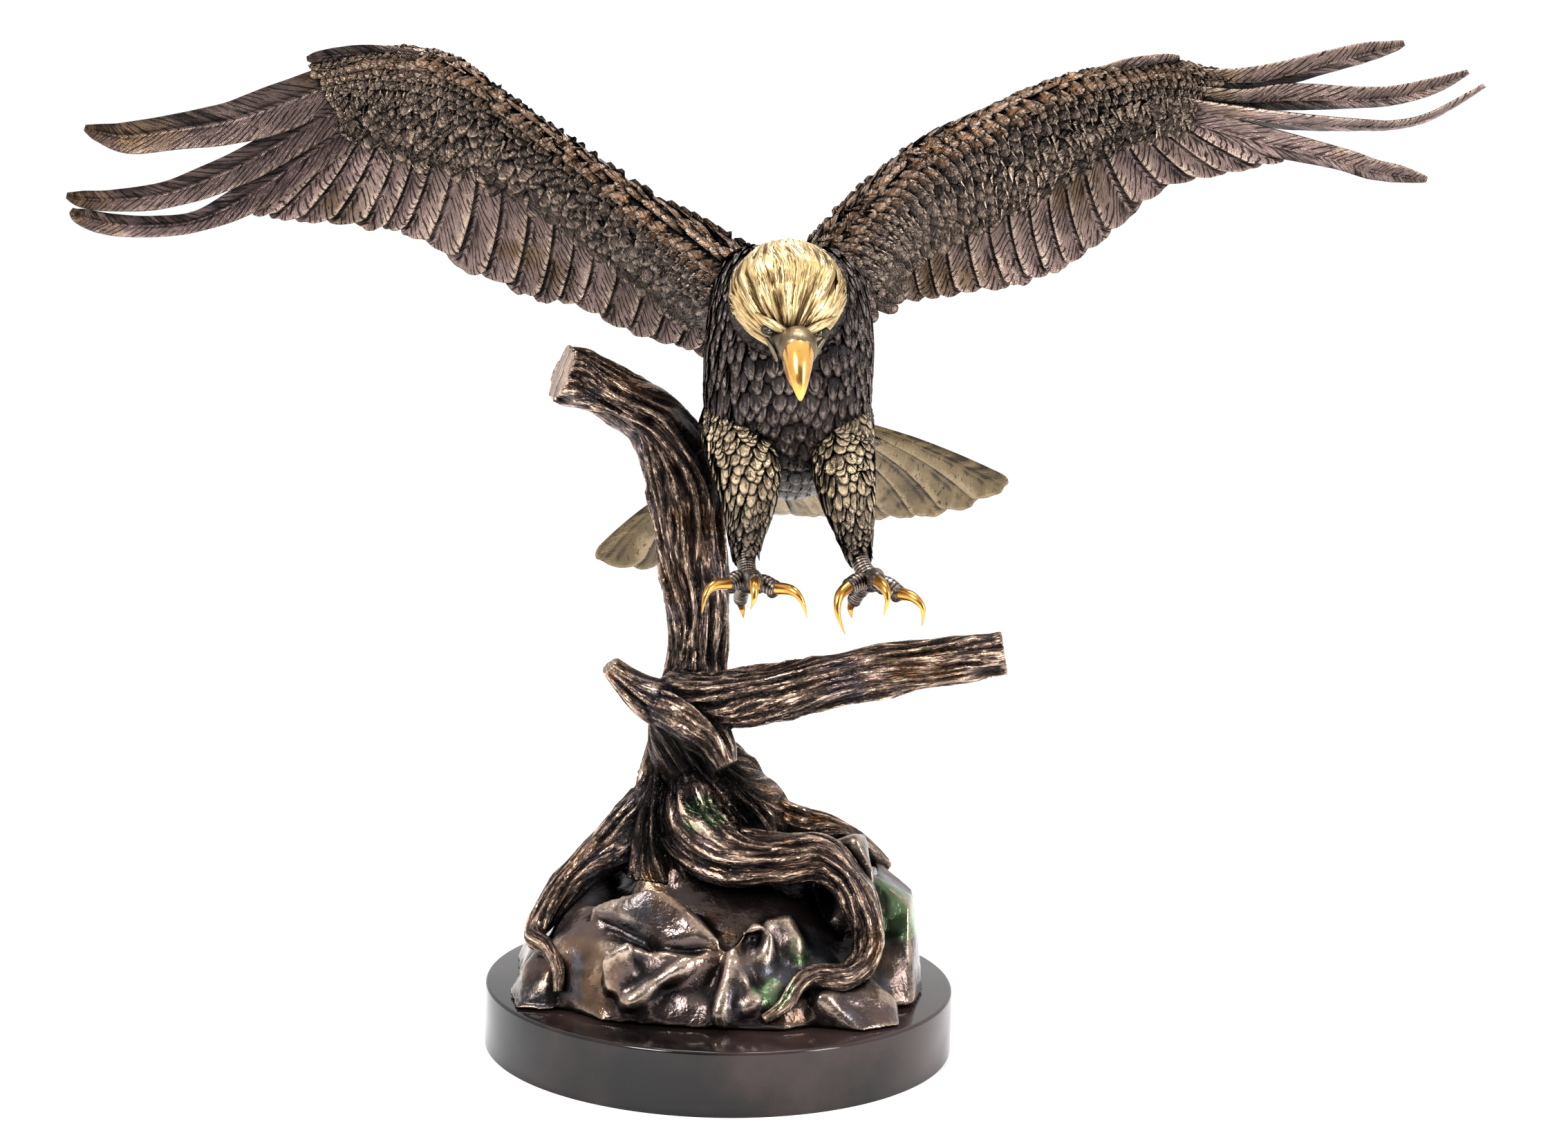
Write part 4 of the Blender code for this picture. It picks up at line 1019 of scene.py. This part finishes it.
def hollows(mesh, points, rounds):
    """How far each point stands out of its smoothed surroundings, in drawing units."""
    edges = np.empty(len(mesh.edges) * 2, np.int32)
    mesh.edges.foreach_get("vertices", edges)
    a, b = edges.reshape(-1, 2).T
    degree = np.bincount(a, minlength=len(points)) + np.bincount(b, minlength=len(points))
    eased = points.copy()
    for _ in range(rounds):
        total = np.stack([
            np.bincount(a, eased[b, k], len(points)) + np.bincount(b, eased[a, k], len(points))
            for k in range(3)
        ], 1)
        eased = 0.5 * eased + 0.5 * total / degree[:, None]
    return np.sum((points - eased) * normals_of(mesh), 1)


def tree(finish):
    form = Form()
    bark(form, TRUNK, 420, 180, 17, 0.16, 1.2, 1)
    bark(form, TRUNK_FOOT, 150, 240, 30, 0.13, 1.4, 6)
    bark(form, BRANCH, 260, 130, 14, 0.16, 0.8, 2, UPWARD)
    bark(form, UPPER_STUB, 90, 72, 9, 0.18, 0.6, 3, UPWARD)
    bark(form, LOWER_STUB, 90, 72, 9, 0.18, 0.6, 4, UPWARD)
    bark(form, SPUR_TO_BODY, 40, 60, 9, 0.12, 0.6, 5, UPWARD)
    for k, path in enumerate(ROOTS):
        bark(form, path, 40 + 22 * len(path), 96, 12, 0.20, 1.4, 11 + k, UPWARD)
    points, result = remeshed(form, "tree_forms", TREE_CELL, keep=TREE_KEPT)
    stands = hollows(result, points, TREE_ROUNDS)
    finished = settle(result, points, np.clip(0.5 + 0.9 * stands, 0, 1), "tree",
                      **carried(form, points, ("across", "along")))
    shown("tree", finished, finish)


def hull(form, points):
    """The closed form that tightly wraps some points."""
    bm = bmesh.new()
    for point in points:
        bm.verts.new(point)
    made = bmesh.ops.convex_hull(bm, input=bm.verts)
    unused = [v for v in made["geom_interior"] + made["geom_unused"] if isinstance(v, bmesh.types.BMVert)]
    bmesh.ops.delete(bm, geom=list(set(unused)), context="VERTS")
    bmesh.ops.triangulate(bm, faces=bm.faces)
    bm.verts.index_update()
    found = np.array([v.co for v in bm.verts])
    tris = np.array([[v.index for v in f.verts] for f in bm.faces])
    bm.free()
    form.closed(found, np.zeros((0, 4), int), tris)


def rock(finish):
    form = Form()
    points = []
    for level, (z, cx, cy, wide, deep) in enumerate(MOUND):
        for k in range(MOUND_CORNERS):
            angle = 2 * math.pi * k / MOUND_CORNERS + 0.35 * (level // 2)
            uneven = 1.0 - 0.035 * (1 + math.sin(k * 2.4 + level))
            points.append((cx + wide * uneven * math.cos(angle), cy + deep * uneven * math.sin(angle), z))
    hull(form, points)
    for index, ((cx, cy, wide, deep, base), crest) in enumerate(STONES):
        points = list(crest)
        for k in range(STONE_CORNERS):
            angle = 2 * math.pi * (k + 0.5 * (index % 2)) / STONE_CORNERS
            uneven = 1.0 - 0.08 * (1 + math.sin(2.1 * k + index))
            points.append((cx + wide * uneven * math.cos(angle), cy + deep * uneven * math.sin(angle), base))
        hull(form, points)
    points, result = remeshed(form, "rock_forms", ROCK_CELL, smooth=ROCK_EASING)
    normal = normals_of(result)
    broad = lumps(points, 40, 1) * 2.4
    middle = lumps(points, 17, 2) * 1.3
    small = lumps(points, 6, 3) * 0.2
    free = soft_step(points[:, 2], 0.5, 4.0)
    pressed = sum(
        depth * np.exp(-(np.linalg.norm(points - np.array((x, y, z)), axis=1) / reach) ** 2)
        for x, y, z, reach, depth in DENTS
    )
    raised = 0.0
    for first, last, reach, height in RIDGES:
        first, way = np.array(first, float), np.subtract(last, first).astype(float)
        share = np.clip((points - first) @ way / (way @ way), 0, 1)
        away = np.linalg.norm(points - first - share[:, None] * way, axis=1)
        raised = raised + height * np.exp(-(away / reach) ** 2)
    moved = points + normal * ((broad + middle + small + raised - pressed - 0.6) * free)[:, None]
    moved[:, 2] = np.maximum(moved[:, 2], 0.0)
    result.vertices.foreach_set("co", moved.ravel())
    result.update()
    stands = hollows(result, moved, ROCK_ROUNDS)
    finished = settle(result, moved, np.clip(0.5 + 0.55 * stands, 0, 1), "rock")
    shown("rock", finished, finish)


def plinth(finish):
    sides, steps = 256, 6
    profile = []
    for step in range(steps + 1):
        angle = math.pi / 2 * (1 - step / steps)
        profile.append((PLINTH_RADIUS - PLINTH_EDGE_ROUND * (1 - math.cos(angle)),
                        PLINTH_HEIGHT - PLINTH_EDGE_ROUND * (1 - math.sin(angle))))
    profile += [(PLINTH_RADIUS, PLINTH_HEIGHT * 0.5), (PLINTH_RADIUS, 0.0)]
    angles = np.linspace(0, 2 * np.pi, sides, endpoint=False)
    rings = np.array([[(r * math.cos(a), r * math.sin(a), z) for a in angles] for r, z in profile])
    form = Form()
    capped(form, (rings - np.array([0, 0, DRAWING_BASE])) / UNIT)
    mesh = form.mesh("plinth")
    mesh.set_sharp_from_angle(angle=math.radians(35))
    shown("plinth", mesh, finish, "marble_plinth")


class Finish:
    """A node material, built step by step."""

    def __init__(self, name):
        self.material = bpy.data.materials.new(name)
        self.material.use_nodes = True
        self.tree = self.material.node_tree
        self.shader = self.tree.nodes["Principled BSDF"]

    def put(self, socket, value):
        if isinstance(value, bpy.types.NodeSocket):
            self.tree.links.new(value, socket)
        elif isinstance(value, tuple) and len(value) == 3 and socket.type == "RGBA":
            socket.default_value = (*value, 1.0)
        else:
            socket.default_value = value

    def value(self, name):
        node = self.tree.nodes.new("ShaderNodeAttribute")
        node.attribute_name = name
        return node.outputs["Fac"]

    def math(self, operation, a, b=0.0):
        node = self.tree.nodes.new("ShaderNodeMath")
        node.operation = operation
        self.put(node.inputs[0], a)
        self.put(node.inputs[1], b)
        return node.outputs[0]

    def plus(self, a, b):
        return self.math("ADD", a, b)

    def minus(self, a, b):
        return self.math("SUBTRACT", a, b)

    def times(self, a, b):
        return self.math("MULTIPLY", a, b)

    def ease(self, value, low, high, out_low=0.0, out_high=1.0):
        node = self.tree.nodes.new("ShaderNodeMapRange")
        node.interpolation_type = "SMOOTHSTEP"
        for key, given in zip(("Value", "From Min", "From Max", "To Min", "To Max"),
                              (value, low, high, out_low, out_high)):
            self.put(node.inputs[key], given)
        return node.outputs[0]

    def mix(self, share, first, second):
        node = self.tree.nodes.new("ShaderNodeMix")
        node.data_type = "RGBA"
        self.put(node.inputs["Factor"], share)
        colours = [s for s in node.inputs if s.type == "RGBA"]
        self.put(colours[0], first)
        self.put(colours[1], second)
        return [s for s in node.outputs if s.type == "RGBA"][0]

    def place(self):
        return self.tree.nodes.new("ShaderNodeTexCoord").outputs["Object"]

    def together(self, x, y, z):
        node = self.tree.nodes.new("ShaderNodeCombineXYZ")
        for socket, value in zip(node.inputs, (x, y, z)):
            self.put(socket, value)
        return node.outputs[0]

    def noise(self, vector, scale, detail=3.0, roughness=0.55):
        node = self.tree.nodes.new("ShaderNodeTexNoise")
        self.put(node.inputs["Vector"], vector)
        node.inputs["Scale"].default_value = scale
        node.inputs["Detail"].default_value = detail
        node.inputs["Roughness"].default_value = roughness
        return node.outputs["Fac"]

    # Occlusion, which the finishes use to paint shade into their colours
    def occlusion_shade(self, distance):
        node = self.tree.nodes.new("ShaderNodeAmbientOcclusion")
        node.samples = 4
        node.inputs["Distance"].default_value = distance
        return node.outputs["AO"]

    def bump(self, height, strength, distance):
        node = self.tree.nodes.new("ShaderNodeBump")
        node.inputs["Strength"].default_value = strength
        node.inputs["Distance"].default_value = distance
        self.put(node.inputs["Height"], height)
        self.put(self.shader.inputs["Normal"], node.outputs[0])

    def set(self, **values):
        names = {"colour": "Base Color", "metallic": "Metallic", "roughness": "Roughness",
                 "coat": "Coat Weight", "coat_roughness": "Coat Roughness", "ior": "IOR"}
        for key, value in values.items():
            self.put(self.shader.inputs[names[key]], value)
        return self.material


def bronze(name, dark, middle, edge, roughness=0.36, metallic=0.85, warm=None, gold=None, barbs=0.0,
           patch=None, worn=(0.55, 0.95), grain=0.6, strands=0.0, shade=0.012, mottle=0.45, tints=(),
           dimple=0.0, black=0.0, cuts=0.0, cut_shade=0.88, fibre_width=0.10):
    """Patinated bronze: dark in the recesses, partly as patina and partly as painted shade from occlusion and
    low relief, its own tone on the faces, worn bright on the edges.
    """
    f = Finish(name)
    place = f.place()
    relief, across, along, seed, zone = (f.value(key) for key in VALUES)
    own = f.times(seed, SEED_SPREAD)
    slanted = f.minus(along, f.times(f.math("ABSOLUTE", across), BARB_SLANT))
    clouds = f.noise(place, 28.0, 4.0)
    fine = f.noise(place, 420.0, 3.0)
    tone = middle
    if warm:
        tone = f.mix(f.ease(zone, -1.0, 0.0, 1.0, 0.0), tone, warm)
    if gold:
        tone = f.mix(f.ease(zone, 0.2, 1.0, 0.0, 0.8), tone, gold)
    for k, tint in enumerate(tints):
        tone = f.mix(f.ease(f.noise(place, 17.0 + 9.0 * k, 4.0), 0.50, 0.66), tone, tint)
    tone = f.mix(f.ease(clouds, 0.35, 0.68), tone, f.mix(mottle, tone, dark))
    tone = f.mix(f.times(seed, 0.30), tone, f.mix(0.5, tone, edge))
    if patch:
        spread = f.plus(zone, f.minus(f.noise(place, 90.0, 5.0), 0.5))
        tone = f.mix(f.ease(spread, 0.35, 0.75), tone, patch)
    wear = f.plus(relief, f.times(f.minus(fine, 0.5), 0.5))
    bright = f.mix(f.ease(zone, 0.2, 1.0, 0.0, 0.6), edge, gold) if gold else edge
    tone = f.mix(f.ease(wear, *worn), tone, bright)
    # Painted shade: almost black where the zone is below zero, in the spots under the branch and between the
    # roots
    if black:
        tone = f.mix(f.ease(zone, -0.7, 0.0, black, 0.0), tone, dark)
    # Painted shade, with patina: darker where occlusion finds a recess and where the relief is low
    sunk = f.times(f.ease(f.occlusion_shade(shade), 0.42, 0.97), f.ease(relief, 0.05, 0.45, 0.12, 1.0))
    height = f.times(fine, grain)
    if dimple:
        height = f.plus(height, f.times(f.noise(place, 70.0, 4.0, 0.6), dimple))
    if strands:
        fibre = f.noise(f.together(f.times(across, 0.75), f.times(along, 0.045), own), 1.0, 4.0, 0.6)
        cord = f.ease(f.math("ABSOLUTE", f.minus(fibre, 0.5)), 0.0, fibre_width)
        height = f.plus(height, f.times(cord, strands))
        # The grooves between the strands are darkened as well: patina and painted shade
        sunk = f.times(sunk, f.ease(cord, 0.0, 0.7, 0.12, 1.0))
    tone = f.mix(sunk, dark, tone)
    if barbs:
        wander = f.noise(f.together(f.times(across, 0.25), f.times(slanted, 0.35), seed), 2.0, 2.0)
        wave = f.math("SINE", f.plus(f.times(slanted, 2 * math.pi / BARB_PITCH), f.times(wander, 7.0)))
        height = f.plus(height, f.times(wave, barbs))
        spot = f.together(f.times(across, 0.20), f.times(slanted, 0.42), own)
        slit = f.ease(f.noise(spot, 1.0, 1.0), 0.66, 0.70)
        # Painted shade: the slits are painted dark as well as sunk in the bump
        tone = f.mix(f.times(slit, 0.85), tone, dark)
        height = f.minus(height, f.times(slit, 1.2))
    if cuts:
        bend = f.noise(f.together(f.times(across, 0.06), f.times(slanted, 0.05), own), 1.0, 1.0)
        turned = f.plus(f.times(slanted, 2 * math.pi / cuts), f.times(bend, 16.0))
        line = f.ease(f.math("SINE", turned), 0.50, 0.88)
        spot = f.together(f.times(across, 0.16), f.times(slanted, 0.14), own)
        line = f.times(line, f.ease(f.noise(spot, 1.0, 1.0), 0.38, 0.50))
        # Painted shade: the cuts are painted dark as well as sunk in the bump
        tone = f.mix(f.times(line, cut_shade), tone, dark)
        height = f.minus(height, f.times(line, 1.8))
    f.bump(height, 1.0, 0.0005)
    uneven = f.times(f.minus(fine, 0.5), 0.16)
    rough = f.plus(f.ease(clouds, 0.3, 0.7, roughness - 0.06, roughness + 0.08), uneven)
    return f.set(colour=tone, metallic=metallic, roughness=rough)


def eye_finish():
    f = Finish("dark glass")
    place = f.place()
    return f.set(colour=f.mix(f.noise(place, 300.0), (0.01, 0.008, 0.006), (0.03, 0.02, 0.012)), metallic=0.2,
                 roughness=0.16, coat=0.6, coat_roughness=0.08)


def polished_gold(name, bright, deep):
    f = Finish(name)
    place = f.place()
    clouds = f.noise(place, 60.0, 4.0)
    fine = f.noise(place, 700.0, 2.0)
    tone = f.mix(f.ease(clouds, 0.35, 0.7), bright, deep)
    # Painted shade: darker where occlusion finds a crevice
    tone = f.mix(f.ease(f.occlusion_shade(0.006), 0.15, 0.75), (0.06, 0.03, 0.01), tone)
    f.bump(fine, 0.12, 0.0003)
    return f.set(colour=tone, metallic=0.95, roughness=f.ease(clouds, 0.3, 0.7, 0.17, 0.26))


def black_marble():
    f = Finish("polished black marble")
    place = f.place()
    veil = f.noise(place, 9.0, 6.0)
    tone = f.mix(f.ease(veil, 0.40, 0.65), (0.004, 0.003, 0.003), (0.030, 0.018, 0.017))
    f.bump(veil, 0.25, 0.0006)
    return f.set(colour=tone, metallic=0.0, roughness=f.ease(f.noise(place, 40.0), 0.2, 0.8, 0.05, 0.12),
                 coat=0.0, ior=1.37)


def studio():
    scene = bpy.context.scene
    camera = placed("camera", bpy.data.cameras.new("camera"))
    camera.data.sensor_width = SENSOR_WIDTH
    camera.data.lens = FOCAL_SHARE * SENSOR_WIDTH
    camera.matrix_world = (
        Matrix.Translation(CAMERA_PLACE)
        @ Matrix.Rotation(math.radians(90 - CAMERA_DOWN), 4, "X")
        @ Matrix.Rotation(math.radians(CAMERA_ROLL), 4, "Z")
    )
    scene.camera = camera
    scene.view_settings.view_transform = "Standard"
    scene.view_settings.look = "None"

    world = bpy.data.worlds.new("white room")
    scene.world = world
    world.use_nodes = True
    background = world.node_tree.nodes["Background"]
    background.inputs["Color"].default_value = (1.0, 1.0, 1.0, 1.0)
    background.inputs["Strength"].default_value = ROOM_LIGHT

    for name, place, aim, size, power in (
        ("key", (-1.2, -1.7, 1.7), (0.0, 0.0, 0.35), (0.7, 0.9), 70),
        ("fill", (1.7, -1.3, 0.9), (0.0, 0.0, 0.35), (0.5, 1.2), 35),
        ("top", (0.1, 0.3, 2.2), (0.0, 0.0, 0.3), (1.2, 0.8), 40),
    ):
        light = bpy.data.lights.new(name, "AREA")
        light.shape = "RECTANGLE"
        light.size, light.size_y = size
        light.energy = power
        lamp = placed(name, light)
        lamp.location = place
        lamp.rotation_euler = (Vector(aim) - Vector(place)).to_track_quat("-Z", "Y").to_euler()

    for name, corners, first, second in (
        ("floor", [(-8, -8, 0), (8, -8, 0), (8, 8, 0), (-8, 8, 0)], (0.96, 0.96, 0.96), (0.98, 0.98, 0.98)),
        ("dark_wall", [(-2.6, -3.0, 0), (2.6, -3.0, 0), (2.6, -3.0, 2.4), (-2.6, -3.0, 2.4)],
         (0.02, 0.02, 0.02), (0.03, 0.03, 0.03)),
    ):
        mesh = bpy.data.meshes.new(name)
        mesh.from_pydata(corners, [], [(0, 1, 2, 3)])
        stage = placed(name, mesh)
        f = Finish(name)
        mesh.materials.append(f.set(colour=f.mix(f.noise(f.place(), 2.0), first, second), roughness=0.7))
        stage.visible_camera = name == "floor"


wing_bronze = bronze("mauve brown bronze", (0.004, 0.003, 0.003), (0.29, 0.20, 0.182), (0.56, 0.42, 0.33),
                     gold=(0.045, 0.027, 0.026), barbs=0.6, roughness=0.32, tints=((0.18, 0.11, 0.06),),
                     worn=(0.62, 1.1), cuts=4.6)
covert_bronze = bronze("covert bronze", (0.003, 0.002, 0.002), (0.105, 0.078, 0.074), (0.50, 0.37, 0.28),
                       warm=(0.30, 0.16, 0.08), barbs=0.6, roughness=0.30, cuts=3.8, cut_shade=0.55)
body_bronze = bronze("dark plumage bronze", (0.003, 0.002, 0.002), (0.013, 0.011, 0.014), (0.29, 0.23, 0.20),
                     gold=(0.96, 0.74, 0.46), barbs=0.4, roughness=0.28)
head_gold = bronze("golden head", (0.040, 0.016, 0.005), (0.80, 0.56, 0.25), (0.95, 0.77, 0.46),
                   roughness=0.36, metallic=0.95, worn=(0.50, 1.0), mottle=0.25, strands=1.6,
                   fibre_width=0.045)
face_bronze = bronze("face bronze", (0.02, 0.016, 0.012), (0.24, 0.19, 0.11), (0.55, 0.44, 0.28),
                     roughness=0.34, gold=(0.20, 0.14, 0.075))
tail_bronze = bronze("pale tail bronze", (0.012, 0.009, 0.006), (0.19, 0.13, 0.060), (0.30, 0.22, 0.12),
                     roughness=0.34, barbs=0.5)
feet_bronze = bronze("feet bronze", (0.004, 0.003, 0.003), (0.040, 0.033, 0.034), (0.32, 0.25, 0.20),
                     roughness=0.26)
tree_bronze = bronze("bark bronze", (0.002, 0.0015, 0.0015), (0.155, 0.098, 0.080), (0.78, 0.56, 0.41),
                     black=0.9, roughness=0.24, patch=(0.12, 0.18, 0.09), worn=(0.50, 0.95), strands=4.0,
                     shade=0.045, tints=((0.26, 0.13, 0.055), (0.20, 0.155, 0.175)))
rock_bronze = bronze("rock bronze", (0.003, 0.002, 0.002), (0.112, 0.080, 0.074), (0.46, 0.35, 0.27),
                     roughness=0.22, patch=(0.13, 0.20, 0.10), worn=(0.66, 1.2), shade=0.045, grain=0.2,
                     mottle=0.8, dimple=2.5, tints=((0.175, 0.105, 0.062), (0.20, 0.20, 0.23)))
beak_gold = polished_gold("polished gold", (0.86, 0.48, 0.13), (0.62, 0.30, 0.06))
talon_gold = polished_gold("talon gold", (0.66, 0.35, 0.08), (0.36, 0.16, 0.03))

wing("left_wing", LEFT_WING, wing_bronze, covert_bronze)
wing("right_wing", RIGHT_WING, wing_bronze, covert_bronze)
body(body_bronze)
head(head_gold, face_bronze, beak_gold)
feet(feet_bronze, talon_gold)
tail(tail_bronze)
tree(tree_bronze)
rock(rock_bronze)
plinth(black_marble())
studio()
